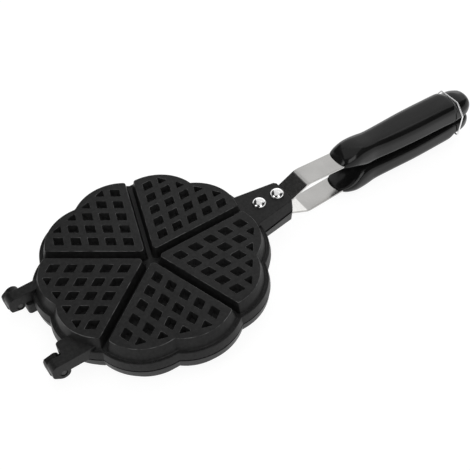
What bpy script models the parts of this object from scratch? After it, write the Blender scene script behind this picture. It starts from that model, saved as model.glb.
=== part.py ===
"""Stove-top waffle iron that bakes a ring of five heart-shaped waffles.

Two equal cast plates meet face to face. Each has a steel strap riveted to its tongue and a moulded grip
on the strap. The plates turn on two short hinge pins, and a wire ring on the lower grip swings over the
upper one to hold the iron shut.

Lengths are in metres. +X runs along the handles and +Z is up. The pieces are drawn from the middle of the
plates, on the plane where they meet. The finished iron has its origin on the same plane, halfway along its
length. The lower half is the upper half turned half a turn about X.
"""

import math

import bmesh
import bpy
from mathutils import Vector

# Fits shared by the whole iron
GAP = 0.0003            # between pieces that touch or slide on each other
OVERRUN = 0.002         # how far a cutter runs past the face it opens
EDGE_ROUNDING = 0.0004  # softened edge of a casting

# Casting outline: ten round lobes, two for each heart
HEARTS = 5
LOBE_CIRCLE_RADIUS = 0.0456   # the circle that the lobes' centres lie on
HEART_LOBE_RADIUS = 0.0335    # at the hearts' top face
WALL_DRAFT = 0.0031           # the heart's wall leans out by this much on its way down
WALL_FOOT_FILLET = 0.0007
LEDGE_WIDTH = 0.0012
BEAD_WIDTH = 0.0014
BEAD_HEIGHT = 0.0004
RIM_DRAFT = 0.0009

# Casting heights above the meeting plane
HALF_PARTING = 0.0004         # each plate stops this far from the meeting plane
HEART_TOP_Z = 0.0161
LEDGE_Z = 0.00675

# Grooves between the hearts
GROOVE_TOP_WIDTH = 0.0065
GROOVE_FLOOR_WIDTH = 0.0035
HEART_TIP_RADIUS = 0.0028
HEART_CORNER_RADIUS = 0.0017

# Waffle pockets, set on lines that run along the two grooves of a heart
POCKET_PITCH = 0.0125
POCKET_START = 0.01297        # first pocket's middle, measured along each groove
POCKET_SIDE = 0.00775
POCKET_DRAFT = 0.0015
POCKET_DEPTH = 0.005
POCKET_ROWS = 5

# Baking side of a casting
CAVITY_ROOF_Z = 0.0131
RIDGE_FOOT_Z = 0.00375        # the ridges between the hearts end here
FLOOR_WALL = 0.0061           # flat land from the cavity to the rim
RIDGE_FOOT_HALF_WIDTH = 0.004
RIDGE_ROOT_HALF_WIDTH = 0.00625
CAVITY_DRAFT = 0.0035
CAVITY_TIP_RADIUS = 0.0015
CAVITY_CORNER_RADIUS = 0.003
PEG_WALL = 0.0018             # metal between a pocket and the baking side
PEG_DRAFT = 0.00105
PEG_END_Z = 0.0078

# Tongue that carries the handle strap
TONGUE_END_X = 0.1145
TONGUE_ROOT_X = 0.071
TONGUE_TOP_Z = 0.01025
TONGUE_FOOT_Z = 0.001
TONGUE_ROOF = 0.00245
TONGUE_WALL = 0.0021
TONGUE_FLARE = 0.0061         # how much wider the tongue is at its root, each side
TONGUE_SIDE_DRAFT = 0.0013
TONGUE_ROOT_DRAFT = 0.0029
TONGUE_CHAMFER_LENGTH = 0.0018
TONGUE_CHAMFER_WIDTH = 0.002

# Handle strap
STRAP_WIDTH = 0.0183
STRAP_THICKNESS = 0.0015
STRAP_LAP = 0.008             # strap beyond the inner rivet
STRAP_KINK_PAST_TONGUE = 0.0005
STRAP_RISE_RUN = 0.0159
STRAP_RISE = 0.0079
STRAP_KINK_RADIUS = 0.0025
STRAP_CREST_RADIUS = 0.01
TANG_WIDTH = 0.012
TANG_SHOULDER_START = 0.0092   # inside the grip, from its front
TANG_SHOULDER_LENGTH = 0.006
TANG_LENGTH = 0.1022
TANG_FALL = 0.0076

# Rivets
RIVET_SHANK_RADIUS = 0.0025
RIVET_HEAD_RADIUS = 0.0053
RIVET_HEAD_HEIGHT = 0.0033
RIVET_HEAD_EDGE = 0.0004
RIVET_TAIL_RADIUS = 0.004
RIVET_TAIL_HEIGHT = 0.0012
RIVET_END_MARGIN = 0.0065
RIVET_PITCH = 0.016

# Grip
GRIP_SETBACK = 0.0288          # from the strap's crest to the grip's front
GRIP_LENGTH = 0.1348
GRIP_HALF_WIDTH = 0.013
GRIP_HEIGHT = 0.0226
GRIP_RING_SPACING = 0.009
NECK_PLACE_SHARE = 0.8665      # where the neck that the wire ring lies in starts, along the grip
NECK_TOP_SHARE = 0.754         # height of the neck

# Screw that holds the grip on the tang
SCREW_FROM_TANG_END = 0.012
SCREW_SHANK_RADIUS = 0.0015
SCREW_HEAD_RADIUS = 0.0032
SCREW_HEAD_HEIGHT = 0.0014
SCREW_RECESS_DEPTH = 0.0022
SCREW_LENGTH = 0.0075

# Hinge
HINGE_X = -0.0913
HINGE_TAIL = 0.0077           # the arms run this far past the pin
TAIL_ROUNDING = 0.005         # top corner of the arms' ends
TAIL_CORNER = 0.001           # bottom corner of the arms' ends, cut back by this much
OUTER_TAIL_DROP = 0.0011      # how far the end of an arm hangs below the meeting plane
INNER_TAIL_DROP = 0.0019
ARM_TOP_Z = 0.0099
ARM_FOOT_Z = 0.0006
OUTER_ARM_FACE_Y = 0.0416
OUTER_ARM_WIDTH = 0.0077
INNER_ARM_WIDTH = 0.0083
ARM_SIDE_GAP = 0.0006
ARM_ROOT_X = -0.063
INNER_ARM_ROOT_X = -0.068
FLARE_INNER_Y = 0.0231
FLARE_ROOT_X = -0.072
FLARE_CORNER_RADIUS = 0.0025
PIN_RADIUS = 0.0022
PIN_RECESS = 0.0005
PIN_CHAMFER = 0.0003
INNER_KNUCKLE_WALL = 0.0009
OUTER_KNUCKLE_WALL = 0.0025
SWING_GAP = 0.0004

# Wire ring
WIRE_RADIUS = 0.00065
RING_PIVOT_Z = -0.0146
RING_LEAN = 0.0023            # the bar rests this far in front of the pivot
RING_SHOULDER_Z = 0.0085
RING_SHOULDER_MARGIN = 0.0033  # wire past the grip's side
RING_FOOT_MARGIN = 0.0002
RING_BAR_SHARE = 0.72         # half length of the bar as a share of the grip's half width
RING_END_LENGTH = 0.006       # from the ring's foot into the hole
RING_BEND_RADIUS = 0.0015

# Number of straight pieces that stand for a round one
LOBE_STEPS = 8
CORNER_STEPS = 3
TIP_STEPS = 2
ROUND_STEPS = 16
KNUCKLE_STEPS = 16
DOME_STEPS = 4
BEND_STEPS = 4
GRIP_STEPS = 24
SHARP_ANGLE = math.radians(35)

# Places that follow from the sizes above
SECTOR = 2 * math.pi / HEARTS
HALF_SECTOR = SECTOR / 2
LOBE_ANGLE = SECTOR / 4
WALL_FOOT_LOBE_RADIUS = HEART_LOBE_RADIUS + WALL_DRAFT
BEAD_LOBE_RADIUS = WALL_FOOT_LOBE_RADIUS + LEDGE_WIDTH
RIM_TOP_LOBE_RADIUS = BEAD_LOBE_RADIUS + BEAD_WIDTH
RIM_LOBE_RADIUS = RIM_TOP_LOBE_RADIUS + RIM_DRAFT
FLOOR_LOBE_RADIUS = RIM_LOBE_RADIUS - FLOOR_WALL
CHANNEL_ROOF_Z = TONGUE_TOP_Z - TONGUE_ROOF
STRAP_SEAT_Z = CHANNEL_ROOF_Z - GAP
STRAP_HALF_WIDTH = STRAP_WIDTH / 2
TONGUE_END_HALF_WIDTH = STRAP_HALF_WIDTH + GAP + TONGUE_WALL
OUTER_RIVET_X = TONGUE_END_X - RIVET_END_MARGIN
INNER_RIVET_X = OUTER_RIVET_X - RIVET_PITCH
STRAP_START_X = INNER_RIVET_X - STRAP_LAP
STRAP_KINK_X = TONGUE_END_X + STRAP_KINK_PAST_TONGUE
STRAP_CREST_X = STRAP_KINK_X + STRAP_RISE_RUN
STRAP_CREST_Z = STRAP_SEAT_Z + STRAP_RISE
GRIP_FRONT_X = STRAP_CREST_X + GRIP_SETBACK
GRIP_END_X = GRIP_FRONT_X + GRIP_LENGTH
TANG_END_X = GRIP_FRONT_X + TANG_LENGTH
TANG_END_Z = STRAP_CREST_Z - TANG_FALL
SCREW_X = TANG_END_X - SCREW_FROM_TANG_END
PIN_BORE_RADIUS = PIN_RADIUS + GAP
INNER_KNUCKLE_RADIUS = PIN_BORE_RADIUS + INNER_KNUCKLE_WALL
OUTER_KNUCKLE_RADIUS = PIN_BORE_RADIUS + OUTER_KNUCKLE_WALL
ARM_END_X = HINGE_X - HINGE_TAIL
FLARE_END_X = HINGE_X + INNER_KNUCKLE_RADIUS + SWING_GAP
OUTER_ARM_INNER_Y = OUTER_ARM_FACE_Y - OUTER_ARM_WIDTH
INNER_ARM_FACE_Y = OUTER_ARM_INNER_Y - ARM_SIDE_GAP
INNER_ARM_INNER_Y = INNER_ARM_FACE_Y - INNER_ARM_WIDTH
RING_PIVOT_X = GRIP_FRONT_X + NECK_PLACE_SHARE * GRIP_LENGTH + RING_LEAN
RING_BAR_Z = NECK_TOP_SHARE * GRIP_HEIGHT + WIRE_RADIUS + GAP
MIDDLE_X = (ARM_END_X + GRIP_END_X) / 2

# Grip sections from front to rear. Each row holds the place as a share of the grip's length, the half width
# as a share of its half width, then the heights of the top, the waist and the underside above the meeting
# plane as shares of the grip's height, and how square the underside's corners are.
GRIP_SECTION_SHARES = (
    (0.000, 0.230, 0.570, 0.530, 0.504, 2.2),
    (0.010, 0.540, 0.590, 0.535, 0.478, 2.2),
    (0.026, 0.690, 0.670, 0.542, 0.456, 2.3),
    (0.043, 0.790, 0.785, 0.548, 0.438, 2.3),
    (0.069, 0.880, 0.870, 0.550, 0.398, 2.4),
    (0.114, 0.945, 0.948, 0.544, 0.292, 2.5),
    (0.158, 0.920, 0.966, 0.527, 0.119, 2.8),
    (0.203, 0.890, 0.935, 0.495, 0.070, 3.5),
    (0.262, 0.846, 0.885, 0.460, 0.100, 4.5),
    (0.373, 0.915, 0.850, 0.430, 0.120, 6.0),
    (0.559, 1.000, 0.843, 0.415, 0.115, 7.0),
    (0.759, 1.000, 0.828, 0.398, 0.080, 7.5),
    (0.826, 1.000, 0.815, 0.385, 0.050, 7.5),
    (0.850, 0.993, 0.800, 0.378, 0.042, 7.0),
    (NECK_PLACE_SHARE, 0.985, NECK_TOP_SHARE, 0.373, 0.040, 6.0),
    (0.915, 0.962, 0.745, 0.358, 0.040, 5.0),
    (0.952, 0.862, 0.695, 0.341, 0.040, 4.0),
    (0.981, 0.646, 0.625, 0.319, 0.088, 3.0),
    (1.000, 0.230, 0.400, 0.310, 0.221, 2.2),
)
GRIP_TOP_SQUARENESS = 3.4
ROUND_SQUARENESS = 2.2
NOSE_SHARES = (0.05, 0.26)
NECK_SHARES = (0.82, 0.87)


def arc(centre, radius, start, end, steps):
    """Points (x, y) on a circle from one angle to another, both ends included."""
    points = []
    for i in range(steps + 1):
        angle = start + (end - start) * i / steps
        points.append((centre[0] + radius * math.cos(angle), centre[1] + radius * math.sin(angle)))
    return points


def turned(points, angle):
    """Points (x, y) turned about the origin."""
    cosine, sine = math.cos(angle), math.sin(angle)
    return [(x * cosine - y * sine, x * sine + y * cosine) for x, y in points]


def at_height(points, z):
    return [(x, y, z) for x, y in points]


def add_loft(shape, rings):
    """Adds a closed body through rings of equally many points, with a flat cap on each end."""
    loops = [[shape.verts.new(point) for point in ring] for ring in rings]
    count = len(loops[0])
    for first, second in zip(loops, loops[1:]):
        for i in range(count):
            j = (i + 1) % count
            shape.faces.new((first[i], first[j], second[j], second[i]))
    shape.faces.new(loops[0][::-1])
    shape.faces.new(loops[-1])


def lofted_mesh(name, bodies):
    """Mesh of one or more lofted bodies, each given as its rings."""
    shape = bmesh.new()
    for rings in bodies:
        add_loft(shape, rings)
    bmesh.ops.recalc_face_normals(shape, faces=shape.faces)
    mesh = bpy.data.meshes.new(name)
    shape.to_mesh(mesh)
    shape.free()
    return mesh


def combined(base, tool, operation):
    """Mesh of two meshes after a Boolean: UNION or DIFFERENCE."""
    body = bpy.data.objects.new("boolean_body", base)
    cutter = bpy.data.objects.new("boolean_cutter", tool)
    for item in (body, cutter):
        bpy.context.collection.objects.link(item)
    modifier = body.modifiers.new("combine", "BOOLEAN")
    modifier.operation = operation
    modifier.object = cutter
    bpy.context.view_layer.update()
    evaluated = body.evaluated_get(bpy.context.evaluated_depsgraph_get())
    mesh = bpy.data.meshes.new_from_object(evaluated)
    mesh.name = base.name
    for item in (body, cutter):
        bpy.data.objects.remove(item)
    return mesh


def circle(centre, radius, steps):
    """Closed circle of points (x, y)."""
    return arc(centre, radius, 0, 2 * math.pi * (steps - 1) / steps, steps - 1)


def turned_rings(profile, centre, steps):
    """Rings of a body turned about Z from a profile of (radius, z)."""
    return [at_height(circle(centre, radius, steps), z) for radius, z in profile]


def cross_cylinder(x, z, radius, start_y, end_y, steps):
    """Rings of a cylinder that lies along Y."""
    outline = circle((x, z), radius, steps)
    return [[(px, y, pz) for px, pz in outline] for y in (start_y, end_y)]


def box(start, end):
    """Rings of a plain box between two corners."""
    outline = [(start[0], start[1]), (end[0], start[1]), (end[0], end[1]), (start[0], end[1])]
    return [at_height(outline, start[2]), at_height(outline, end[2])]


def lobe_outline(lobe_radius):
    """Outline of a plate: ten lobes whose circles meet at the clefts."""
    height = LOBE_CIRCLE_RADIUS * math.sin(LOBE_ANGLE)
    cleft = math.sqrt(lobe_radius ** 2 - height ** 2)
    half_span = math.atan2(height, cleft) + LOBE_ANGLE
    points = []
    for lobe in range(2 * HEARTS):
        direction = LOBE_ANGLE * (2 * lobe + 1)
        centre = (LOBE_CIRCLE_RADIUS * math.cos(direction), LOBE_CIRCLE_RADIUS * math.sin(direction))
        points += arc(centre, lobe_radius, direction - half_span, direction + half_span, LOBE_STEPS)[:-1]
    return points


def heart_outline(groove_half_width, lobe_radius, tip_radius, corner_radius):
    """Outline of one heart with its tip at the origin's side and its cleft on the +X axis."""
    along = Vector((math.cos(HALF_SECTOR), math.sin(HALF_SECTOR)))
    inward = Vector((math.sin(HALF_SECTOR), -math.cos(HALF_SECTOR)))
    outward_angle = math.pi / 2 + HALF_SECTOR
    lobe = LOBE_CIRCLE_RADIUS * Vector((math.cos(LOBE_ANGLE), math.sin(LOBE_ANGLE)))
    tip_centre = ((groove_half_width + tip_radius) / math.sin(HALF_SECTOR), 0)
    tip = arc(tip_centre, tip_radius, math.pi, outward_angle, TIP_STEPS)
    offset = (groove_half_width + corner_radius) * inward - lobe
    shift = along.dot(offset)
    reach = lobe_radius - corner_radius
    distance = math.sqrt(shift ** 2 - offset.length_squared + reach ** 2) - shift
    from_lobe = offset + distance * along
    corner_centre = lobe + from_lobe
    touch_angle = math.atan2(from_lobe.y, from_lobe.x)
    corner = arc(corner_centre, corner_radius, outward_angle, touch_angle, CORNER_STEPS)
    cleft_angle = -math.asin(lobe.y / lobe_radius)
    rounded = arc(lobe, lobe_radius, touch_angle, cleft_angle, LOBE_STEPS)[1:]
    half = tip + corner + rounded
    half[-1] = (half[-1][0], 0)
    return half + [(x, -y) for x, y in half[-2:0:-1]]


def heart_directions():
    return [HALF_SECTOR + SECTOR * heart for heart in range(HEARTS)]


def heart_bodies(levels):
    """Five lofted hearts from rows of (groove half width, lobe radius, tip radius, corner radius, z)."""
    bodies = []
    for direction in heart_directions():
        rings = []
        for groove, lobe, tip, corner, z in levels:
            rings.append(at_height(turned(heart_outline(groove, lobe, tip, corner), direction), z))
        bodies.append(rings)
    return bodies


def heart_levels():
    """The outer wall of the hearts, from inside the base up to the rounded top edge."""
    fillet, edge = WALL_FOOT_FILLET, EDGE_ROUNDING
    rows = (
        (GROOVE_FLOOR_WIDTH - fillet, WALL_FOOT_LOBE_RADIUS + fillet / 2, LEDGE_Z - OVERRUN),
        (GROOVE_FLOOR_WIDTH - fillet, WALL_FOOT_LOBE_RADIUS + fillet / 2, LEDGE_Z),
        (GROOVE_FLOOR_WIDTH + fillet, WALL_FOOT_LOBE_RADIUS - fillet, LEDGE_Z + 2 * fillet),
        (GROOVE_TOP_WIDTH - edge, HEART_LOBE_RADIUS + edge / 2, HEART_TOP_Z - edge),
        (GROOVE_TOP_WIDTH + edge, HEART_LOBE_RADIUS - edge / 2, HEART_TOP_Z),
    )
    return [(groove / 2, lobe, HEART_TIP_RADIUS, HEART_CORNER_RADIUS, z) for groove, lobe, z in rows]


def base_rings():
    """The rim, the bead on its edge and the ledge inside the bead."""
    middle = BEAD_LOBE_RADIUS + BEAD_WIDTH / 2
    levels = (
        (RIM_LOBE_RADIUS, HALF_PARTING),
        (RIM_TOP_LOBE_RADIUS, LEDGE_Z - BEAD_HEIGHT),
        (RIM_TOP_LOBE_RADIUS - BEAD_HEIGHT, LEDGE_Z + BEAD_HEIGHT / 2),
        (middle, LEDGE_Z + BEAD_HEIGHT),
        (BEAD_LOBE_RADIUS, LEDGE_Z),
    )
    return [at_height(lobe_outline(radius), z) for radius, z in levels]


def tongue_outline(root_half_width, end_half_width, inset):
    """Plan of the tongue, wider at its root and with its outer corners cut off."""
    end_x = TONGUE_END_X - inset
    corner_x = end_x - TONGUE_CHAMFER_LENGTH
    corner_y = end_half_width - TONGUE_CHAMFER_WIDTH - inset
    half = [(TONGUE_ROOT_X, root_half_width - inset), (corner_x, end_half_width - inset), (end_x, corner_y)]
    return half + [(x, -y) for x, y in reversed(half)]


def tongue_rings():
    end = TONGUE_END_HALF_WIDTH
    root = end + TONGUE_FLARE
    return [
        at_height(tongue_outline(root + TONGUE_ROOT_DRAFT, end + TONGUE_SIDE_DRAFT, 0), TONGUE_FOOT_Z),
        at_height(tongue_outline(root, end, 0), TONGUE_TOP_Z - EDGE_ROUNDING),
        at_height(tongue_outline(root, end, EDGE_ROUNDING), TONGUE_TOP_Z),
    ]


def outer_arm_outline(inset):
    """Plan of the outer hinge arm, on the -Y side, with its flared root."""
    radius = FLARE_CORNER_RADIUS - inset
    corner = (FLARE_END_X + FLARE_CORNER_RADIUS, -FLARE_INNER_Y - FLARE_CORNER_RADIUS)
    return [
        (ARM_ROOT_X, -OUTER_ARM_FACE_Y + inset),
        (FLARE_ROOT_X, -FLARE_INNER_Y - inset),
        *arc(corner, radius, math.pi / 2, math.pi, CORNER_STEPS),
        (FLARE_END_X + inset, -OUTER_ARM_INNER_Y - inset),
        (ARM_END_X + inset, -OUTER_ARM_INNER_Y - inset),
        (ARM_END_X + inset, -OUTER_ARM_FACE_Y + inset),
    ]


def inner_arm_outline(inset):
    """Plan of the inner hinge arm, on the +Y side."""
    return [
        (INNER_ARM_ROOT_X, INNER_ARM_INNER_Y + inset),
        (INNER_ARM_ROOT_X, INNER_ARM_FACE_Y - inset),
        (ARM_END_X + inset, INNER_ARM_FACE_Y - inset),
        (ARM_END_X + inset, INNER_ARM_INNER_Y + inset),
    ]


def arm_rings(outline):
    levels = ((0, ARM_FOOT_Z), (0, ARM_TOP_Z - EDGE_ROUNDING), (EDGE_ROUNDING, ARM_TOP_Z))
    return [at_height(outline(inset), z) for inset, z in levels]


def knuckle_outline(radius, tail_drop):
    """Side view (x, z) of a knuckle: round on the plate's side, then straight to the arm's hanging end."""
    tail = Vector((ARM_END_X + TAIL_CORNER, -tail_drop))
    to_tail = tail - Vector((HINGE_X, 0))
    touch_angle = math.atan2(to_tail.y, to_tail.x) + math.acos(radius / to_tail.length)
    round_side = arc((HINGE_X, 0), radius, math.pi / 2, touch_angle, KNUCKLE_STEPS)
    return round_side + [tuple(tail), (ARM_END_X, ARM_FOOT_Z), (ARM_END_X, 2 * ARM_FOOT_Z)]


def knuckle_bodies():
    sides = (
        (OUTER_KNUCKLE_RADIUS, OUTER_TAIL_DROP, -OUTER_ARM_FACE_Y, -OUTER_ARM_INNER_Y),
        (INNER_KNUCKLE_RADIUS, INNER_TAIL_DROP, INNER_ARM_INNER_Y, INNER_ARM_FACE_Y),
    )
    bodies = []
    for radius, drop, start_y, end_y in sides:
        outline = knuckle_outline(radius, drop)
        bodies.append([[(x, y, z) for x, z in outline] for y in (start_y, end_y)])
    return bodies


def tail_cutter():
    """Takes the top corners off the arms' ends, to a round."""
    outline = arc((ARM_END_X + TAIL_ROUNDING, ARM_TOP_Z - TAIL_ROUNDING), TAIL_ROUNDING,
                  math.pi, math.pi / 2, CORNER_STEPS + 1)
    outline += [(ARM_END_X + TAIL_ROUNDING, ARM_TOP_Z + OVERRUN), (ARM_END_X - OVERRUN, ARM_TOP_Z + OVERRUN),
                (ARM_END_X - OVERRUN, ARM_TOP_Z - TAIL_ROUNDING)]
    reach = OUTER_ARM_FACE_Y + OVERRUN
    return lofted_mesh("arm_ends", [[[(x, y, z) for x, z in outline] for y in (-reach, reach)]])


def pocket_places():
    """Steps along the two grooves for every pocket of a heart: whole ones first, then half ones."""
    whole = [(i, j) for i in range(POCKET_ROWS) for j in range(POCKET_ROWS - i)]
    half = [(i, POCKET_ROWS - i) for i in range(1, POCKET_ROWS)]
    return whole, half


def pocket_outline(i, j, inset, is_half):
    """Outline of a pocket, drawn in by an inset. A half pocket is a triangle."""
    first = Vector((math.cos(HALF_SECTOR), math.sin(HALF_SECTOR)))
    second = Vector((first.x, -first.y))
    centre = (POCKET_START + i * POCKET_PITCH) * first + (POCKET_START + j * POCKET_PITCH) * second
    if not is_half:
        half = POCKET_SIDE / 2 - inset / math.sin(SECTOR)
        return [centre + half * (a * first + b * second) for a, b in ((-1, -1), (1, -1), (1, 1), (-1, 1))]
    half = POCKET_SIDE / 2
    corners = [centre + half * (a * first + b * second) for a, b in ((-1, -1), (1, -1), (-1, 1))]
    base = 2 * POCKET_SIDE * math.sin(HALF_SECTOR)
    perimeter = 2 * POCKET_SIDE + base
    inner_radius = POCKET_SIDE ** 2 * math.sin(SECTOR) / perimeter
    middle = (base * corners[0] + POCKET_SIDE * corners[1] + POCKET_SIDE * corners[2]) / perimeter
    scale = (inner_radius - inset) / inner_radius
    return [middle + scale * (corner - middle) for corner in corners]


def pocket_bodies(levels):
    """Tapered bodies at every pocket from rows of (inset, z)."""
    whole, half = pocket_places()
    bodies = []
    for direction in heart_directions():
        for place in whole + half:
            rings = []
            for inset, z in levels:
                outline = pocket_outline(*place, inset, place in half)
                rings.append(at_height(turned(outline, direction), z))
            bodies.append(rings)
    return bodies


def pocket_cutter():
    slope = POCKET_DRAFT / POCKET_DEPTH
    levels = ((POCKET_DRAFT, HEART_TOP_Z - POCKET_DEPTH), (-slope * OVERRUN, HEART_TOP_Z + OVERRUN))
    return lofted_mesh("pockets", pocket_bodies(levels))


def peg_bodies():
    """Pegs on the baking side, one under each pocket."""
    pocket_inset = POCKET_DRAFT * (HEART_TOP_Z - CAVITY_ROOF_Z) / POCKET_DEPTH
    root_inset = pocket_inset - PEG_WALL
    slope = PEG_DRAFT / (CAVITY_ROOF_Z - PEG_END_Z)
    levels = ((root_inset + PEG_DRAFT, PEG_END_Z), (root_inset - slope * OVERRUN, CAVITY_ROOF_Z + OVERRUN))
    return lofted_mesh("pegs", pocket_bodies(levels))


def cavity_cutter():
    """The hollow that the batter fills: five heart cavities over one common one, less the pegs."""
    rows = (
        (RIDGE_FOOT_HALF_WIDTH, FLOOR_LOBE_RADIUS - GAP, RIDGE_FOOT_Z - OVERRUN),
        (RIDGE_FOOT_HALF_WIDTH, FLOOR_LOBE_RADIUS - GAP, RIDGE_FOOT_Z),
        (RIDGE_ROOT_HALF_WIDTH, FLOOR_LOBE_RADIUS - CAVITY_DRAFT, CAVITY_ROOF_Z),
    )
    levels = [(ridge, lobe, CAVITY_TIP_RADIUS, CAVITY_CORNER_RADIUS, z) for ridge, lobe, z in rows]
    hearts = lofted_mesh("heart_cavities", heart_bodies(levels))
    outline = lobe_outline(FLOOR_LOBE_RADIUS)
    rings = [at_height(outline, z) for z in (HALF_PARTING - OVERRUN, RIDGE_FOOT_Z)]
    common = lofted_mesh("common_cavity", [rings])
    return combined(combined(common, hearts, "UNION"), peg_bodies(), "DIFFERENCE")


def channel_cutter():
    """Channel in the tongue's underside that the strap lies in."""
    half = STRAP_HALF_WIDTH + GAP
    start = (STRAP_START_X - GAP, -half, HALF_PARTING - OVERRUN)
    end = (TONGUE_END_X + OVERRUN, half, CHANNEL_ROOF_Z)
    return lofted_mesh("strap_channel", [box(start, end)])


def rivet_hole_cutter(foot_z, top_z):
    profile = ((RIVET_SHANK_RADIUS + GAP, foot_z - OVERRUN), (RIVET_SHANK_RADIUS + GAP, top_z + OVERRUN))
    bodies = [turned_rings(profile, (x, 0), ROUND_STEPS) for x in (INNER_RIVET_X, OUTER_RIVET_X)]
    return lofted_mesh("rivet_holes", bodies)


def pin_bore_cutter():
    sides = ((-OUTER_ARM_FACE_Y, -OUTER_ARM_INNER_Y), (INNER_ARM_INNER_Y, INNER_ARM_FACE_Y))
    bodies = []
    for start, end in sides:
        start_y, end_y = start - OVERRUN, end + OVERRUN
        bodies.append(cross_cylinder(HINGE_X, 0, PIN_BORE_RADIUS, start_y, end_y, ROUND_STEPS))
    return lofted_mesh("pin_bores", bodies)


def plate_mesh():
    """One casting, as the upper half uses it."""
    mesh = lofted_mesh("plate", [base_rings()])
    additions = (
        lofted_mesh("hearts", heart_bodies(heart_levels())),
        lofted_mesh("tongue", [tongue_rings()]),
        lofted_mesh("arms", [arm_rings(outer_arm_outline), arm_rings(inner_arm_outline)]),
        lofted_mesh("knuckles", knuckle_bodies()),
    )
    for addition in additions:
        mesh = combined(mesh, addition, "UNION")
    cutters = (
        tail_cutter(),
        cavity_cutter(),
        pocket_cutter(),
        channel_cutter(),
        rivet_hole_cutter(CHANNEL_ROOF_Z, TONGUE_TOP_Z),
        pin_bore_cutter(),
    )
    for cutter in cutters:
        mesh = combined(mesh, cutter, "DIFFERENCE")
    return mesh


def rounded_corner(before, corner, after, radius, steps):
    """Points that replace a corner of a path by an arc."""
    before, corner, after = Vector(before), Vector(corner), Vector(after)
    incoming = (corner - before).normalized()
    outgoing = (after - corner).normalized()
    turn = incoming.angle(outgoing)
    reach = radius * math.tan(turn / 2)
    start = corner - reach * incoming
    centre_direction = (outgoing - incoming).normalized()
    centre = corner + centre_direction * (radius / math.cos(turn / 2))
    axis_x = (start - centre).normalized()
    axis_y = incoming
    points = []
    for i in range(steps + 1):
        angle = turn * i / steps
        points.append(centre + radius * (math.cos(angle) * axis_x + math.sin(angle) * axis_y))
    return points


def strap_path():
    """Outer face of the strap, as (x, z), from its end in the channel to the tang's end."""
    start = (STRAP_START_X, STRAP_SEAT_Z)
    kink = (STRAP_KINK_X, STRAP_SEAT_Z)
    crest = (STRAP_CREST_X, STRAP_CREST_Z)
    end = (TANG_END_X, TANG_END_Z)
    path = [Vector(start)]
    path += rounded_corner(start, kink, crest, STRAP_KINK_RADIUS, BEND_STEPS)
    path += rounded_corner(kink, crest, end, STRAP_CREST_RADIUS + STRAP_THICKNESS, BEND_STEPS)
    shoulder_x = GRIP_FRONT_X + TANG_SHOULDER_START
    for x in (shoulder_x, shoulder_x + TANG_SHOULDER_LENGTH):
        share = (x - STRAP_CREST_X) / (TANG_END_X - STRAP_CREST_X)
        path.append(Vector((x, STRAP_CREST_Z - share * TANG_FALL)))
    path.append(Vector(end))
    return path


def across(path, i):
    """Direction square to a path at one of its points, towards the strap's inner face."""
    before = path[max(i - 1, 0)]
    after = path[min(i + 1, len(path) - 1)]
    along = (after - before).normalized()
    return Vector((along.y, -along.x))


def strap_rings(path, widths, clearance):
    """Rectangular sections along a path, grown on every side by a clearance."""
    rings = []
    for i, point in enumerate(path):
        normal = across(path, i)
        outer = point - clearance * normal
        inner = point + (STRAP_THICKNESS + clearance) * normal
        half = widths[i] / 2 + clearance
        rings.append([(outer.x, -half, outer.y), (outer.x, half, outer.y),
                      (inner.x, half, inner.y), (inner.x, -half, inner.y)])
    return rings


def strap_mesh():
    path = strap_path()
    widths = [STRAP_WIDTH] * (len(path) - 2) + [TANG_WIDTH] * 2
    mesh = lofted_mesh("handle_strap", [strap_rings(path, widths, 0)])
    holes = rivet_hole_cutter(STRAP_SEAT_Z - STRAP_THICKNESS, STRAP_SEAT_Z)
    mesh = combined(mesh, holes, "DIFFERENCE")
    profile = ((SCREW_SHANK_RADIUS + GAP, 0), (SCREW_SHANK_RADIUS + GAP, GRIP_HEIGHT))
    hole = lofted_mesh("screw_hole", [turned_rings(profile, (SCREW_X, 0), ROUND_STEPS)])
    return combined(mesh, hole, "DIFFERENCE")


def grip_row(share):
    """Section values at any place along the grip, on a smooth curve through the rows."""
    rows = GRIP_SECTION_SHARES
    k = max(i for i, row in enumerate(rows[:-1]) if row[0] <= share)
    here, there = rows[k], rows[k + 1]
    before, beyond = rows[max(k - 1, 0)], rows[min(k + 2, len(rows) - 1)]
    span = there[0] - here[0]
    t = (share - here[0]) / span
    values = []
    for column in range(1, len(here)):
        leaving = span * (there[column] - before[column]) / (there[0] - before[0])
        arriving = span * (beyond[column] - here[column]) / (beyond[0] - here[0])
        values.append((2 * t ** 3 - 3 * t ** 2 + 1) * here[column] + (t ** 3 - 2 * t ** 2 + t) * leaving
                      + (3 * t ** 2 - 2 * t ** 3) * there[column] + (t ** 3 - t ** 2) * arriving)
    return values


def eased(value, start, end):
    """Nought below the start, one above the end and a smooth rise between them."""
    t = min(max((value - start) / (end - start), 0), 1)
    return t * t * (3 - 2 * t)


def grip_ring(share):
    """One section of the grip: rounded top, nearly flat underside. The nose and the neck are rounder."""
    width, top, waist, underside, foot_power = grip_row(share)
    roundness = max(1 - eased(share, *NOSE_SHARES), eased(share, *NECK_SHARES))
    top_power = GRIP_TOP_SQUARENESS + (ROUND_SQUARENESS - GRIP_TOP_SQUARENESS) * roundness
    x = GRIP_FRONT_X + share * GRIP_LENGTH
    ring = []
    for i in range(GRIP_STEPS):
        angle = 2 * math.pi * i / GRIP_STEPS
        cosine, sine = math.cos(angle), math.sin(angle)
        power = top_power if sine >= 0 else foot_power
        reach = (top - waist if sine >= 0 else waist - underside) * GRIP_HEIGHT
        y = GRIP_HALF_WIDTH * width * math.copysign(abs(cosine) ** (2 / power), cosine)
        z = waist * GRIP_HEIGHT + reach * math.copysign(abs(sine) ** (2 / power), sine)
        ring.append((x, y, z))
    return ring


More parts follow.
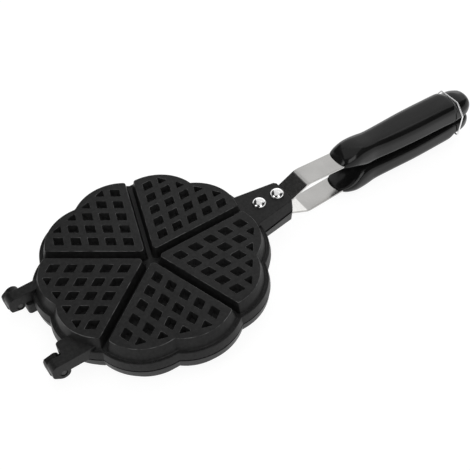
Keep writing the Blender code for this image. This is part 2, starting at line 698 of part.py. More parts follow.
def grip_rings():
    rings = []
    for here, there in zip(GRIP_SECTION_SHARES, GRIP_SECTION_SHARES[1:]):
        span = there[0] - here[0]
        pieces = max(1, round(span * GRIP_LENGTH / GRIP_RING_SPACING))
        rings += [grip_ring(here[0] + span * i / pieces) for i in range(pieces)]
    rings.append(grip_ring(1))
    return rings


def slot_cutter():
    """Slot in the grip that the strap and its tang lie in."""
    path = strap_path()[-3:]
    lead = (path[-1] - path[0]).normalized()
    path = [path[0] - (TANG_SHOULDER_START + OVERRUN) * lead] + path
    path[-1] = path[-1] + GAP * lead
    widths = [STRAP_WIDTH, STRAP_WIDTH, TANG_WIDTH, TANG_WIDTH]
    return lofted_mesh("strap_slot", [strap_rings(path, widths, GAP)])


def screw_levels():
    """Heights of the screw: underside of its head, tip and the face that it is sunk into."""
    face = grip_row((SCREW_X - GRIP_FRONT_X) / GRIP_LENGTH)[3] * GRIP_HEIGHT
    seat = face + SCREW_RECESS_DEPTH
    return face, seat, seat + SCREW_LENGTH


def screw_bore_cutter():
    face, seat, tip = screw_levels()
    head, shank = SCREW_HEAD_RADIUS + GAP, SCREW_SHANK_RADIUS + GAP
    profile = ((head, face - OVERRUN), (head, seat), (shank, seat), (shank, tip + GAP))
    return lofted_mesh("screw_bore", [turned_rings(profile, (SCREW_X, 0), ROUND_STEPS)])


def grip_mesh():
    mesh = lofted_mesh("grip", [grip_rings()])
    mesh = combined(mesh, slot_cutter(), "DIFFERENCE")
    return combined(mesh, screw_bore_cutter(), "DIFFERENCE")


def ringed_grip_mesh(grip):
    """The lower grip also has a hole across it for the ends of the wire ring."""
    reach = GRIP_HALF_WIDTH + OVERRUN
    rings = cross_cylinder(RING_PIVOT_X, -RING_PIVOT_Z, WIRE_RADIUS + GAP, -reach, reach, ROUND_STEPS)
    return combined(grip, lofted_mesh("ring_hole", [rings]), "DIFFERENCE")


def screw_mesh():
    _, seat, tip = screw_levels()
    underside = seat - GAP
    foot = underside - SCREW_HEAD_HEIGHT
    rounding = SCREW_HEAD_HEIGHT / 2
    profile = ((SCREW_HEAD_RADIUS - rounding, foot), (SCREW_HEAD_RADIUS, foot + rounding),
               (SCREW_HEAD_RADIUS, underside), (SCREW_SHANK_RADIUS, underside),
               (SCREW_SHANK_RADIUS, tip - SCREW_SHANK_RADIUS), (SCREW_SHANK_RADIUS / 2, tip))
    return lofted_mesh("grip_screw", [turned_rings(profile, (SCREW_X, 0), ROUND_STEPS)])


def rivet_mesh():
    """A rivet with a domed head above the tongue and a flat tail under the strap, centred on Z."""
    seat = TONGUE_TOP_Z + GAP
    tail = STRAP_SEAT_Z - STRAP_THICKNESS - GAP
    foot = tail - RIVET_TAIL_HEIGHT
    edge = RIVET_TAIL_HEIGHT / 4
    profile = [(RIVET_TAIL_RADIUS - edge, foot), (RIVET_TAIL_RADIUS, foot + edge), (RIVET_TAIL_RADIUS, tail),
               (RIVET_SHANK_RADIUS, tail), (RIVET_SHANK_RADIUS, seat), (RIVET_HEAD_RADIUS, seat)]
    dome = RIVET_HEAD_HEIGHT - RIVET_HEAD_EDGE
    for i in range(DOME_STEPS):
        angle = math.pi / 2 * i / DOME_STEPS
        profile.append((RIVET_HEAD_RADIUS * math.cos(angle), seat + RIVET_HEAD_EDGE + dome * math.sin(angle)))
    return lofted_mesh("rivet", [turned_rings(profile, (0, 0), ROUND_STEPS)])


def pin_mesh():
    """A hinge pin that lies along Y, centred on its own length."""
    half = (OUTER_ARM_FACE_Y - INNER_ARM_INNER_Y) / 2 - PIN_RECESS
    levels = ((PIN_RADIUS - PIN_CHAMFER, -half), (PIN_RADIUS, PIN_CHAMFER - half),
              (PIN_RADIUS, half - PIN_CHAMFER), (PIN_RADIUS - PIN_CHAMFER, half))
    rings = [[(x, y, z) for x, z in circle((0, 0), radius, ROUND_STEPS)] for radius, y in levels]
    return lofted_mesh("hinge_pin", [rings])


def ring_path():
    """Middle line of the wire ring, measured from its pivot."""
    bar_height = RING_BAR_Z - RING_PIVOT_Z
    shoulder_height = RING_SHOULDER_Z - RING_PIVOT_Z
    shoulder_lean = RING_LEAN * shoulder_height / bar_height
    foot_y = GRIP_HALF_WIDTH + RING_FOOT_MARGIN
    half = [
        Vector((0, foot_y - RING_END_LENGTH, 0)),
        Vector((0, foot_y, 0)),
        Vector((-shoulder_lean, GRIP_HALF_WIDTH + RING_SHOULDER_MARGIN, shoulder_height)),
        Vector((-RING_LEAN, GRIP_HALF_WIDTH * RING_BAR_SHARE, bar_height)),
    ]
    corners = half + [Vector((point.x, -point.y, point.z)) for point in reversed(half)]
    path = [corners[0]]
    for before, corner, after in zip(corners, corners[1:], corners[2:]):
        path += rounded_corner(before, corner, after, RING_BEND_RADIUS, BEND_STEPS)
    return path + [corners[-1]]


def wire_curve():
    curve = bpy.data.curves.new("lock_ring", "CURVE")
    curve.dimensions = "3D"
    curve.bevel_depth = WIRE_RADIUS
    curve.bevel_resolution = 2
    curve.use_fill_caps = True
    path = ring_path()
    spline = curve.splines.new("POLY")
    spline.points.add(len(path) - 1)
    for knot, point in zip(spline.points, path):
        knot.co = (*point, 1)
    return curve


def material(name, colour, roughness, metallic):
    finish = bpy.data.materials.new(name)
    finish.use_nodes = True
    shader = finish.node_tree.nodes["Principled BSDF"]
    shader.inputs["Base Color"].default_value = (*colour, 1)
    shader.inputs["Roughness"].default_value = roughness
    shader.inputs["Metallic"].default_value = metallic
    finish.diffuse_color = (*colour, 1)
    return finish


def place(name, data, finish, parent, location):
    """Puts a named piece in the scene under one of the iron's halves."""
    piece = bpy.data.objects.new(name, data)
    bpy.context.collection.objects.link(piece)
    if not piece.material_slots:
        data.materials.append(finish)
    if isinstance(data, bpy.types.Mesh):
        data.shade_smooth()
        data.set_sharp_from_angle(angle=SHARP_ANGLE)
    piece.parent = parent
    piece.location = location
    return piece


def carrier(name, location, rotation):
    """Empty that one half of the iron hangs on."""
    empty = bpy.data.objects.new(name, None)
    bpy.context.collection.objects.link(empty)
    empty.location = location
    empty.rotation_euler = rotation
    return empty


def clear_scene():
    for item in list(bpy.data.objects):
        bpy.data.objects.remove(item)


def build():
    clear_scene()
    cast = material("cast_nonstick", (0.022, 0.022, 0.022), 0.5, 0.1)
    steel = material("strap_steel", (0.55, 0.54, 0.52), 0.28, 1.0)
    rivet_steel = material("rivet_steel", (0.75, 0.75, 0.74), 0.2, 1.0)
    wire_steel = material("wire_steel", (0.7, 0.7, 0.7), 0.2, 1.0)
    moulded = material("moulded_black", (0.012, 0.012, 0.012), 0.18, 0.0)

    plate, strap, rivet, pin, grip, screw = (
        plate_mesh(), strap_mesh(), rivet_mesh(), pin_mesh(), grip_mesh(), screw_mesh())
    upper = carrier("upper_half_hinge", (HINGE_X - MIDDLE_X, 0, 0), (0, 0, 0))
    lower = carrier("lower_half_frame", (-MIDDLE_X, 0, 0), (math.pi, 0, 0))
    halves = (("upper", upper, -HINGE_X, grip), ("lower", lower, 0, ringed_grip_mesh(grip)))
    for side, parent, shift, side_grip in halves:
        place(side + "_plate", plate, cast, parent, (shift, 0, 0))
        place(side + "_handle_strap", strap, steel, parent, (shift, 0, 0))
        place(side + "_inner_rivet", rivet, rivet_steel, parent, (shift + INNER_RIVET_X, 0, 0))
        place(side + "_outer_rivet", rivet, rivet_steel, parent, (shift + OUTER_RIVET_X, 0, 0))
        place(side + "_grip", side_grip, moulded, parent, (shift, 0, 0))
        place(side + "_grip_screw", screw, steel, parent, (shift, 0, 0))

    pin_y = (OUTER_ARM_FACE_Y + INNER_ARM_INNER_Y) / 2
    place("left_hinge_pin", pin, rivet_steel, None, (HINGE_X - MIDDLE_X, pin_y, 0))
    place("right_hinge_pin", pin, rivet_steel, None, (HINGE_X - MIDDLE_X, -pin_y, 0))
    place("lock_ring", wire_curve(), wire_steel, None, (RING_PIVOT_X - MIDDLE_X, 0, RING_PIVOT_Z))


build()
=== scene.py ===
"""Looks of a stove-top waffle iron: two hinged cast plates for heart-shaped waffles, riveted steel straps,
glossy black grips and a wire ring that holds the iron shut.

Lengths are in metres. +X runs along the handles and +Z is up. The pieces are drawn from the middle of the
plates and placed so that the middle of the iron's length is the origin. The lower half is the upper half turned
half a turn about X.
"""

import math

import bmesh
import bpy
from mathutils import Matrix, Vector


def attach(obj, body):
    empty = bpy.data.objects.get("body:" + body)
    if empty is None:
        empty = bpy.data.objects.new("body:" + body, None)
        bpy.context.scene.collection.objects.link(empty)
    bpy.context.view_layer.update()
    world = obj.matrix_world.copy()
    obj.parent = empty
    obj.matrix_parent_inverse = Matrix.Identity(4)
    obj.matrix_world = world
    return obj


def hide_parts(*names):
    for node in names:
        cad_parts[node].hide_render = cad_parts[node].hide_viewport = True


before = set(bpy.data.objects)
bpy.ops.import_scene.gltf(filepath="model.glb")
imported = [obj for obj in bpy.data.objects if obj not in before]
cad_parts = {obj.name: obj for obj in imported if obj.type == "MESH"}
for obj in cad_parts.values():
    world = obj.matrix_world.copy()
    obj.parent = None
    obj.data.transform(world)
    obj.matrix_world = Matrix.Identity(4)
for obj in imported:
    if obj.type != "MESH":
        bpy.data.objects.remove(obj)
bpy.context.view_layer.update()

# All pieces
MIDDLE_X = 0.09775      # middle of the iron's length
EDGE = 0.00045
GAP = 0.0003
OVERRUN = 0.002         # how far a cutting body reaches past what it cuts
TIP_RADIUS = 0.0002     # the small flat at the middle of a round head
MERGE_DISTANCE = 0.000002
NORMAL_WEIGHT = 80

# Steps of round shapes
LOBE_STEPS = 22
CORNER_STEPS = 6
EDGE_STEPS = 4
FINE_STEPS = 3
ROUND_STEPS = 48
SMALL_HOLE_STEPS = 32
KNUCKLE_STEPS = 28
TAIL_STEPS = 12
DOME_STEPS = 15
KINK_STEPS = 10
CREST_STEPS = 16
GRIP_RING_STEPS = 72
WIRE_STEPS = 20
WIRE_BEND_STEPS = 8

# Casting
HEARTS = 5
SECTOR = 2 * math.pi / HEARTS
HALF_SECTOR = SECTOR / 2
LOBE_ANGLE = SECTOR / 4
LOBE_CIRCLE_RADIUS = 0.0456
HEART_LOBE_RADIUS = 0.0335
WALL_FOOT_LOBE_RADIUS = 0.0366
BEAD_LOBE_RADIUS = 0.0378
RIM_TOP_LOBE_RADIUS = 0.0392
RIM_LOBE_RADIUS = 0.0401
FLOOR_LOBE_RADIUS = 0.034
HALF_PARTING = 0.0004
HEART_TOP_Z = 0.0161
HEART_EDGE = 0.0006
HEART_TIP_RADIUS = 0.0028
HEART_CORNER_RADIUS = 0.0017
LEDGE_Z = 0.00675
FOOT_FILLET = 0.0011
FOOT_SPREAD = 0.6       # width of the fillet at a heart's foot, as a share of its height
GROOVE_TOP_HALF = 0.00325
GROOVE_FLOOR_HALF = 0.00175
RIM_EDGE = 0.0003
BEAD_HEIGHT = 0.0004
BEAD_OUTER_EDGE = 0.0005
BEAD_INNER_EDGE = 0.0004
BEAD_INNER_LEAN = 0.0003
BEAD_INNER_OFFSET = 0.0001

# Pockets and baking side
POCKET_PITCH = 0.0125
POCKET_START = 0.01297
POCKET_SIDE = 0.00775
POCKET_DRAFT = 0.0015
POCKET_DEPTH = 0.005
POCKET_ROWS = 5
POCKET_CORNER = 0.0006
POCKET_FLOOR_CORNER_SHARE = 0.3
POCKET_CORNER_GROWTH = 0.4
POCKET_EDGE = 0.0003
POCKET_FILLET = 0.0005
CAVITY_ROOF_Z = 0.0131
CAVITY_TIP_RADIUS = 0.0015
CAVITY_CORNER_RADIUS = 0.003
RIDGE_FOOT_Z = 0.00375
CAVITY_ROWS = (         # half width of the ridge, distance in from the floor's lobes, height
    (0.004, GAP, RIDGE_FOOT_Z - OVERRUN),
    (0.004, GAP, RIDGE_FOOT_Z),
    (0.00605, 0.0032, CAVITY_ROOF_Z - 0.0006),
    (0.0065, 0.0038, CAVITY_ROOF_Z - 0.0001),
    (0.0069, 0.0042, CAVITY_ROOF_Z),
)
MOUTH_CHAMFER_WIDTH = 0.0003
MOUTH_CHAMFER_HEIGHT = 0.0004
PEG_END_Z = 0.0078
PEG_OFFSET = 0.0018
PEG_DRAFT = 0.00105
PEG_ROUNDING = 0.0006
PEG_END_CORNER = 0.0009
PEG_ROOT_CORNER = 0.0011

# Tongue, arms and hinge
TONGUE_END_X = 0.1145
TONGUE_ROOT_X = 0.071
TONGUE_TOP_Z = 0.01025
TONGUE_FOOT_Z = 0.001
TONGUE_END_HALF = 0.01155
TONGUE_FLARE = 0.0061
TONGUE_ROOT_DRAFT = 0.0029
TONGUE_END_DRAFT = 0.0013
TONGUE_CORNER_LENGTH = 0.0018
TONGUE_CORNER_WIDTH = 0.002
TONGUE_CORNER_ROUNDING = 0.0006
CORNER_INSET_SHARE = 0.6
CHANNEL_ROOF_Z = 0.0078
HINGE_X = -0.0913
ARM_END_X = -0.099
ARM_TOP_Z = 0.0099
ARM_FOOT_Z = 0.0006
ARM_BEND = (-0.0850, -0.0256)
ARM_BEND_RADIUS = 0.0025
OUTER_ARM_ROOT_X = -0.063
OUTER_ARM_SHOULDER_X = -0.072
OUTER_ARM_FACE_Y = 0.0416
OUTER_ARM_INNER_Y = 0.0339
INNER_ARM_ROOT_X = -0.068
INNER_ARM_FACE_Y = 0.0333
INNER_ARM_INNER_Y = 0.025
TAIL_ROUNDING = 0.005
TAIL_SETBACK = 0.001
KNUCKLES = (            # radius, drop of its tail, start and end along Y
    (0.005, 0.0011, -OUTER_ARM_FACE_Y, -OUTER_ARM_INNER_Y),
    (0.0034, 0.0019, INNER_ARM_INNER_Y, INNER_ARM_FACE_Y),
)
KNUCKLE_EDGE = 0.0003
KNUCKLE_EDGE_BREAK = 0.3
BORE_RADIUS = 0.0025
BORE_MOUTH_RADIUS = 0.0027
BORE_CHAMFER = 0.0002
PIN_HALF_LENGTH = 0.0078
PIN_END_ROWS = ((0.0018, 0), (0.0021, 0.0001), (0.0022, 0.0003))        # radius, distance from the pin's end

# Straps and rivets
STRAP_HALF = 0.00915
STRAP_THICKNESS = 0.0015
STRAP_EDGE = 0.00028
STRAP_SEAT_Z = 0.0075
STRAP_START_X = 0.084
STRAP_KINK_X = 0.115
STRAP_KINK_RADIUS = 0.0025
STRAP_CREST = (0.1309, 0.0154)
STRAP_CREST_RADIUS = 0.0115
STRAP_STATIONS_X = (0.14, 0.15, 0.16, 0.1689, 0.1749)
TANG_END = (0.2619, 0.0078)
TANG_HALF = 0.006
RIVETS_X = (0.092, 0.108)
RIVET_HOLE_RADIUS = 0.0028
RIVET_HOLE_SPAN_Z = (0.004, 0.009)
RIVET_SHANK_RADIUS = 0.0025
RIVET_SEAT_GAP = 0.00003
RIVET_TAIL_ROWS = (     # radius, distance under the strap
    (0.0030, 0.0012),
    (0.0036, 0.00112),
    (0.0039, 0.0009),
    (0.004, 0.0006),
    (0.004, 0),
)
RIVET_HEAD_RADIUS = 0.0053
RIVET_HEAD_FOOT = 0.0003
RIVET_DOME_HEIGHT = 0.00327
RIVET_UNDERCUT = (0.00005, 0.0001)

# Grips, screws and ring
GRIP_FRONT_X = 0.1597
GRIP_LENGTH = 0.1348
GRIP_HALF_WIDTH = 0.013
GRIP_HEIGHT = 0.0226
GRIP_RING_SPACING = 0.0018
NECK_PLACE_SHARE = 0.8665
NECK_TOP_SHARE = 0.754
GRIP_TOP_SQUARENESS = 3.4
ROUND_SQUARENESS = 2.2
NOSE_SHARES = (0.05, 0.26)
NECK_SHARES = (0.82, 0.87)
SLOT_LEAD = 0.0092
SCREW_X = 0.2499
SCREW_HOLE_RADIUS = 0.0018
SCREW_HOLE_SPAN_Z = (0, 0.02)
SCREW_SEAT_DEPTH = 0.0022
SCREW_BORE_LENGTH = 0.0078
SCREW_MOUTH_ROWS = ((0.0039, -OVERRUN), (0.0038, 0), (0.0035, 0.0003))      # radius, depth in the grip
SCREW_HEAD_RADIUS = 0.0032
SCREW_HEAD_HEIGHT = 0.0014
SCREW_HEAD_ROUNDING = 0.0007
SCREW_HEAD_FLAT = (0.0018, 0.00003)
SCREW_SHANK_RADIUS = 0.0015
SCREW_SHANK_LENGTH = 0.006
SCREW_POINT = (0.0007, 0.0075)
SCREW_SLOT_HALF_LENGTH = 0.0019
SCREW_SLOT_HALF_WIDTH = 0.0003
SCREW_SLOT_DEPTH = 0.0009
SCREW_SLOT_TURN = 0.4
RING_LEAN = 0.0023
RING_SHOULDER_Z = 0.0085
RING_SHOULDER_OUT = 0.0033
RING_FOOT_OUT = 0.0002
RING_FOOT_LENGTH = 0.006
RING_BAR_SHARE = 0.72   # half length of the bar's straight part, as a share of the grip's half width
RING_BEND_RADIUS = 0.0015
RING_HOLE_RADIUS = 0.00095
RING_HOLE_HALF_LENGTH = 0.015
RING_PIVOT = (GRIP_FRONT_X + NECK_PLACE_SHARE * GRIP_LENGTH + RING_LEAN, 0.0, -0.0146)
WIRE_RADIUS = 0.00065

# Finishes
NONE_TO_FULL = (0.0, 1.0)
NOISE_SPAN = (0.3, 0.7)         # where nearly all values of a noise lie
# Lightened top edges of the hearts: partly wear, partly a painted highlight
EDGE_WEAR_AND_HIGHLIGHT_REACH = 1.4           # in heights of the hearts' rounded edge
EDGE_WEAR_AND_HIGHLIGHT_FACING = (0.97, 0.82)
WALL_FACING = (0.30, 0.50)
EDGE_PATCH_SPAN = (0.42, 0.62)
EDGE_PATCH_SHARES = (0.15, 1.0)
# Pocket floors that get painted shade by reflecting less
POCKET_FLOOR_FACING = (0.35, 0.60)
POCKET_FLOOR_FADE = (0.0012, 0.0022)
POCKET_FLOOR_UNDERSIDE = (-0.0006, -0.0002)
FIRST_COLOUR, SECOND_COLOUR, MIXED_COLOUR = 6, 7, 2     # sockets of the Mix node

# Studio
TABLE_HALF = 6
TABLE_PLACE = (0.185 - MIDDLE_X, 0, -0.0219)
TABLE_TILT = math.atan2(0.0057, 0.264)
TABLE_GREY = 0.47
TABLE_ROUGHNESS = 0.9
TABLE_SPECULAR = 0.1
TABLE_GLOW = 1.52       # keeps the table white where the camera or a mirroring surface shows it
TABLE_GLOW_SHARE = 0.6
BACKDROP_TOP = (0.20, 0.32)     # sines of the heights where the white backdrop ends
ROOM_LEVEL = 0.03       # the dim room above the backdrop
SOFT_LEVEL = 0.20       # even light on every surface
SOFTBOXES = (           # name, azimuth and elevation in degrees, distance, size, level
    ("rear_softbox", 40, 32, 1.4, (2.0, 1.45), 0.80),
    ("top_softbox", 50, 84, 1.5, (1.6, 1.5), 0.70),
    ("left_softbox", 182, 36, 1.2, (0.50, 0.40), 2.6),
    ("front_softbox", 266, 42, 1.2, (0.50, 0.70), 2.6),
)
CAMERA_PLACE = (-0.163725 - MIDDLE_X, -0.390667, 0.504931)
CAMERA_BACK = (-0.3395, -0.5688, 0.7492)
CAMERA_RIGHT = (0.8301, -0.5558, -0.0458)
CAMERA_SENSOR = 36
CAMERA_LENS = 70.872
CAMERA_CLIP = (0.01, 50)


def arc(centre, radius, start, end, steps):
    points = []
    for i in range(steps + 1):
        angle = start + (end - start) * i / steps
        points.append((centre[0] + radius * math.cos(angle), centre[1] + radius * math.sin(angle)))
    return points


def circle(centre, radius, steps):
    return arc(centre, radius, 0, 2 * math.pi * (steps - 1) / steps, steps - 1)


def turned(points, angle):
    c, s = math.cos(angle), math.sin(angle)
    return [(x * c - y * s, x * s + y * c) for x, y in points]


def at_height(points, z):
    return [(x, y, z) for x, y in points]


def along_y(points, y):
    return [(x, y, z) for x, z in points]


def lofted(name, bodies):
    """Mesh of closed bodies, each given as rings of equally many points with a flat cap on each end."""
    shape = bmesh.new()
    for rings in bodies:
        loops = [[shape.verts.new(p) for p in ring] for ring in rings]
        count = len(loops[0])
        for a, b in zip(loops, loops[1:]):
            for i in range(count):
                j = (i + 1) % count
                shape.faces.new((a[i], a[j], b[j], b[i]))
        shape.faces.new(loops[0][::-1])
        shape.faces.new(loops[-1])
    bmesh.ops.recalc_face_normals(shape, faces=shape.faces)
    mesh = bpy.data.meshes.new(name)
    shape.to_mesh(mesh)
    shape.free()
    return mesh


def combined(base, tool, operation):
    body = bpy.data.objects.new("cutting_body", base)
    cutter = bpy.data.objects.new("cutting_tool", tool)
    for item in (body, cutter):
        bpy.context.scene.collection.objects.link(item)
    modifier = body.modifiers.new("combine", "BOOLEAN")
    modifier.operation = operation
    modifier.object = cutter
    bpy.context.view_layer.update()
    evaluated = body.evaluated_get(bpy.context.evaluated_depsgraph_get())
    mesh = bpy.data.meshes.new_from_object(evaluated)
    mesh.name = base.name
    for item in (body, cutter):
        bpy.data.objects.remove(item)
    for spent in (base, tool):
        if spent.users == 0:
            bpy.data.meshes.remove(spent)
    return mesh


def spun(centre, profile):
    """Round sections about an upright axis from rows of (radius, height)."""
    return [at_height(circle(centre, radius, ROUND_STEPS), z) for radius, z in profile]


def hole(centre, radius, heights):
    return spun(centre, [(radius, z) for z in heights])


def quarter(steps):
    """(away, along) shares of a quarter round, from its side to its top."""
    return [(1 - math.cos(math.pi / 2 * i / steps), math.sin(math.pi / 2 * i / steps)) for i in range(steps + 1)]


def corner_arc(before, corner, after, radius, steps):
    before, corner, after = Vector(before), Vector(corner), Vector(after)
    incoming = (corner - before).normalized()
    outgoing = (after - corner).normalized()
    turn = incoming.angle(outgoing)
    reach = radius * math.tan(turn / 2)
    start = corner - reach * incoming
    centre = corner + (outgoing - incoming).normalized() * (radius / math.cos(turn / 2))
    side = (start - centre).normalized()
    points = []
    for i in range(steps + 1):
        angle = turn * i / steps
        points.append(centre + radius * (math.cos(angle) * side + math.sin(angle) * incoming))
    return points


def rounded(path, radius, steps):
    """The inner corners of an open path (x, y) replaced by arcs. Leaves out the path's two ends."""
    points = []
    for before, corner, after in zip(path, path[1:], path[2:]):
        points += [tuple(p) for p in corner_arc(before, corner, after, radius, steps)]
    return points


def closed_rounded(corners, radius, steps):
    """A closed convex outline with all its corners rounded."""
    return rounded([corners[-1], *corners, corners[0]], radius, steps)


# ---------------------------------------------------------------- castings

def lobe_outline(radius):
    height = LOBE_CIRCLE_RADIUS * math.sin(LOBE_ANGLE)
    cleft = math.sqrt(radius ** 2 - height ** 2)
    span = math.atan2(height, cleft) + LOBE_ANGLE
    points = []
    for lobe in range(2 * HEARTS):
        angle = LOBE_ANGLE * (2 * lobe + 1)
        centre = (LOBE_CIRCLE_RADIUS * math.cos(angle), LOBE_CIRCLE_RADIUS * math.sin(angle))
        points += arc(centre, radius, angle - span, angle + span, LOBE_STEPS)[:-1]
    return points


def heart_outline(groove, lobe_radius, tip_radius, corner_radius):
    along = Vector((math.cos(HALF_SECTOR), math.sin(HALF_SECTOR)))
    inward = Vector((math.sin(HALF_SECTOR), -math.cos(HALF_SECTOR)))
    outward = math.pi / 2 + HALF_SECTOR
    lobe = LOBE_CIRCLE_RADIUS * Vector((math.cos(LOBE_ANGLE), math.sin(LOBE_ANGLE)))
    tip = arc(((groove + tip_radius) / math.sin(HALF_SECTOR), 0), tip_radius, math.pi, outward, CORNER_STEPS)
    offset = (groove + corner_radius) * inward - lobe
    shift = along.dot(offset)
    reach = lobe_radius - corner_radius
    distance = math.sqrt(shift ** 2 - offset.length_squared + reach ** 2) - shift
    from_lobe = offset + distance * along
    touch = math.atan2(from_lobe.y, from_lobe.x)
    corner = arc(lobe + from_lobe, corner_radius, outward, touch, CORNER_STEPS)
    cleft = -math.asin(lobe.y / lobe_radius)
    half = tip + corner + arc(lobe, lobe_radius, touch, cleft, LOBE_STEPS)[1:]
    half[-1] = (half[-1][0], 0)
    return half + [(x, -y) for x, y in half[-2:0:-1]]


def hearts(levels):
    bodies = []
    for heart in range(HEARTS):
        angle = HALF_SECTOR + SECTOR * heart
        bodies.append([at_height(turned(heart_outline(*sizes), angle), z) for *sizes, z in levels])
    return bodies


def heart_levels():
    """Outer wall of the hearts: rounded foot, leaning wall and rounded top edge."""
    rise = HEART_TOP_Z - LEDGE_Z
    groove_lean = (GROOVE_TOP_HALF - GROOVE_FLOOR_HALF) / rise
    lobe_lean = (WALL_FOOT_LOBE_RADIUS - HEART_LOBE_RADIUS) / rise
    levels = []
    for away, up in quarter(EDGE_STEPS):
        lift = FOOT_FILLET * away
        out = FOOT_SPREAD * FOOT_FILLET * (1 - up)
        levels.append((GROOVE_FLOOR_HALF + groove_lean * lift - FOOT_SPREAD * out,
                       WALL_FOOT_LOBE_RADIUS - lobe_lean * lift + out, LEDGE_Z + lift))
    for away, up in quarter(EDGE_STEPS):
        z = HEART_TOP_Z - HEART_EDGE + HEART_EDGE * up
        lift = min(z - LEDGE_Z, rise - HEART_EDGE)
        levels.append((GROOVE_FLOOR_HALF + groove_lean * lift + HEART_EDGE * away,
                       WALL_FOOT_LOBE_RADIUS - lobe_lean * lift - HEART_EDGE * away, z))
    levels.insert(0, (*levels[0][:2], LEDGE_Z - OVERRUN))
    return [(groove, lobe, HEART_TIP_RADIUS, HEART_CORNER_RADIUS, z) for groove, lobe, z in levels]


def base_rings():
    """Rim with a softened lower edge, and the raised bead with the ledge inside it."""
    levels = []
    for away, up in quarter(FINE_STEPS):
        levels.append((RIM_LOBE_RADIUS - RIM_EDGE * (1 - up), HALF_PARTING + RIM_EDGE * away))
    bead_top = LEDGE_Z + BEAD_HEIGHT
    for away, up in quarter(EDGE_STEPS):
        levels.append((RIM_TOP_LOBE_RADIUS - BEAD_OUTER_EDGE * away,
                       bead_top - BEAD_OUTER_EDGE + BEAD_OUTER_EDGE * up))
    for away, up in reversed(quarter(FINE_STEPS)):
        levels.append((BEAD_LOBE_RADIUS + BEAD_INNER_OFFSET + BEAD_INNER_LEAN * away,
                       bead_top - BEAD_INNER_EDGE + BEAD_INNER_EDGE * up))
    return [at_height(lobe_outline(radius), z) for radius, z in levels]


def tongue_outline(root, end, inset):
    corner_inset = inset * CORNER_INSET_SHARE
    root_point = (TONGUE_ROOT_X, root - inset)
    path = [root_point, (TONGUE_END_X - TONGUE_CORNER_LENGTH - corner_inset, end - inset),
            (TONGUE_END_X - inset, end - TONGUE_CORNER_WIDTH - corner_inset), (TONGUE_END_X - inset, 0)]
    half = [root_point] + rounded(path, TONGUE_CORNER_ROUNDING, FINE_STEPS)
    return half + [(x, -y) for x, y in reversed(half)]


def tongue_rings():
    end, root = TONGUE_END_HALF, TONGUE_END_HALF + TONGUE_FLARE
    rings = [at_height(tongue_outline(root + TONGUE_ROOT_DRAFT, end + TONGUE_END_DRAFT, 0), TONGUE_FOOT_Z)]
    for away, up in quarter(EDGE_STEPS):
        rings.append(at_height(tongue_outline(root, end, EDGE * away), TONGUE_TOP_Z - EDGE + EDGE * up))
    return rings


def outer_arm_outline(inset):
    bend_x, bend_y = ARM_BEND
    return [
        (OUTER_ARM_ROOT_X, -OUTER_ARM_FACE_Y + inset),
        (OUTER_ARM_SHOULDER_X, bend_y + ARM_BEND_RADIUS - inset),
        *arc(ARM_BEND, ARM_BEND_RADIUS - inset, math.pi / 2, math.pi, CORNER_STEPS),
        (bend_x - ARM_BEND_RADIUS + inset, -OUTER_ARM_INNER_Y - inset),
        (ARM_END_X + inset, -OUTER_ARM_INNER_Y - inset),
        (ARM_END_X + inset, -OUTER_ARM_FACE_Y + inset),
    ]


def inner_arm_outline(inset):
    return [
        (INNER_ARM_ROOT_X, INNER_ARM_INNER_Y + inset),
        (INNER_ARM_ROOT_X, INNER_ARM_FACE_Y - inset),
        (ARM_END_X + inset, INNER_ARM_FACE_Y - inset),
        (ARM_END_X + inset, INNER_ARM_INNER_Y + inset),
    ]


def arm_rings(outline):
    rings = [at_height(outline(0), ARM_FOOT_Z)]
    for away, up in quarter(EDGE_STEPS):
        rings.append(at_height(outline(EDGE * away), ARM_TOP_Z - EDGE + EDGE * up))
    return rings


def knuckle_outline(radius, drop, inset):
    tail = Vector((ARM_END_X + TAIL_SETBACK, -drop + inset))
    to_tail = tail - Vector((HINGE_X, 0))
    size = radius - inset
    touch = math.atan2(to_tail.y, to_tail.x) + math.acos(size / to_tail.length)
    side = arc((HINGE_X, 0), size, math.pi / 2, touch, KNUCKLE_STEPS)
    return side + [tuple(tail), (ARM_END_X, ARM_FOOT_Z), (ARM_END_X, 2 * ARM_FOOT_Z)]


def knuckles():
    bodies = []
    edge = KNUCKLE_EDGE
    broken = KNUCKLE_EDGE_BREAK * edge
    for radius, drop, start, end in KNUCKLES:
        stations = ((start, edge), (start + broken, broken), (start + edge, 0),
                    (end - edge, 0), (end - broken, broken), (end, edge))
        bodies.append([along_y(knuckle_outline(radius, drop, inset), y) for y, inset in stations])
    return bodies


def tail_cutter():
    centre_x, centre_z = ARM_END_X + TAIL_ROUNDING, ARM_TOP_Z - TAIL_ROUNDING
    outline = arc((centre_x, centre_z), TAIL_ROUNDING, math.pi, math.pi / 2, TAIL_STEPS)
    outline += [(centre_x, ARM_TOP_Z + OVERRUN), (ARM_END_X - OVERRUN, ARM_TOP_Z + OVERRUN),
                (ARM_END_X - OVERRUN, centre_z)]
    reach = OUTER_ARM_FACE_Y + OVERRUN
    return lofted("arm_ends", [[along_y(outline, -reach), along_y(outline, reach)]])


def pocket_corners(i, j, inset, is_half):
    first = Vector((math.cos(HALF_SECTOR), math.sin(HALF_SECTOR)))
    second = Vector((first.x, -first.y))
    centre = (POCKET_START + i * POCKET_PITCH) * first + (POCKET_START + j * POCKET_PITCH) * second
    if not is_half:
        half = POCKET_SIDE / 2 - inset / math.sin(SECTOR)
        return [centre + half * (a * first + b * second) for a, b in ((-1, -1), (-1, 1), (1, 1), (1, -1))]
    half = POCKET_SIDE / 2
    corners = [centre + half * (a * first + b * second) for a, b in ((-1, -1), (-1, 1), (1, -1))]
    base = 2 * POCKET_SIDE * math.sin(HALF_SECTOR)
    perimeter = 2 * POCKET_SIDE + base
    inner = POCKET_SIDE ** 2 * math.sin(SECTOR) / perimeter
    middle = (base * corners[0] + POCKET_SIDE * corners[1] + POCKET_SIDE * corners[2]) / perimeter
    return [middle + (inner - inset) / inner * (corner - middle) for corner in corners]


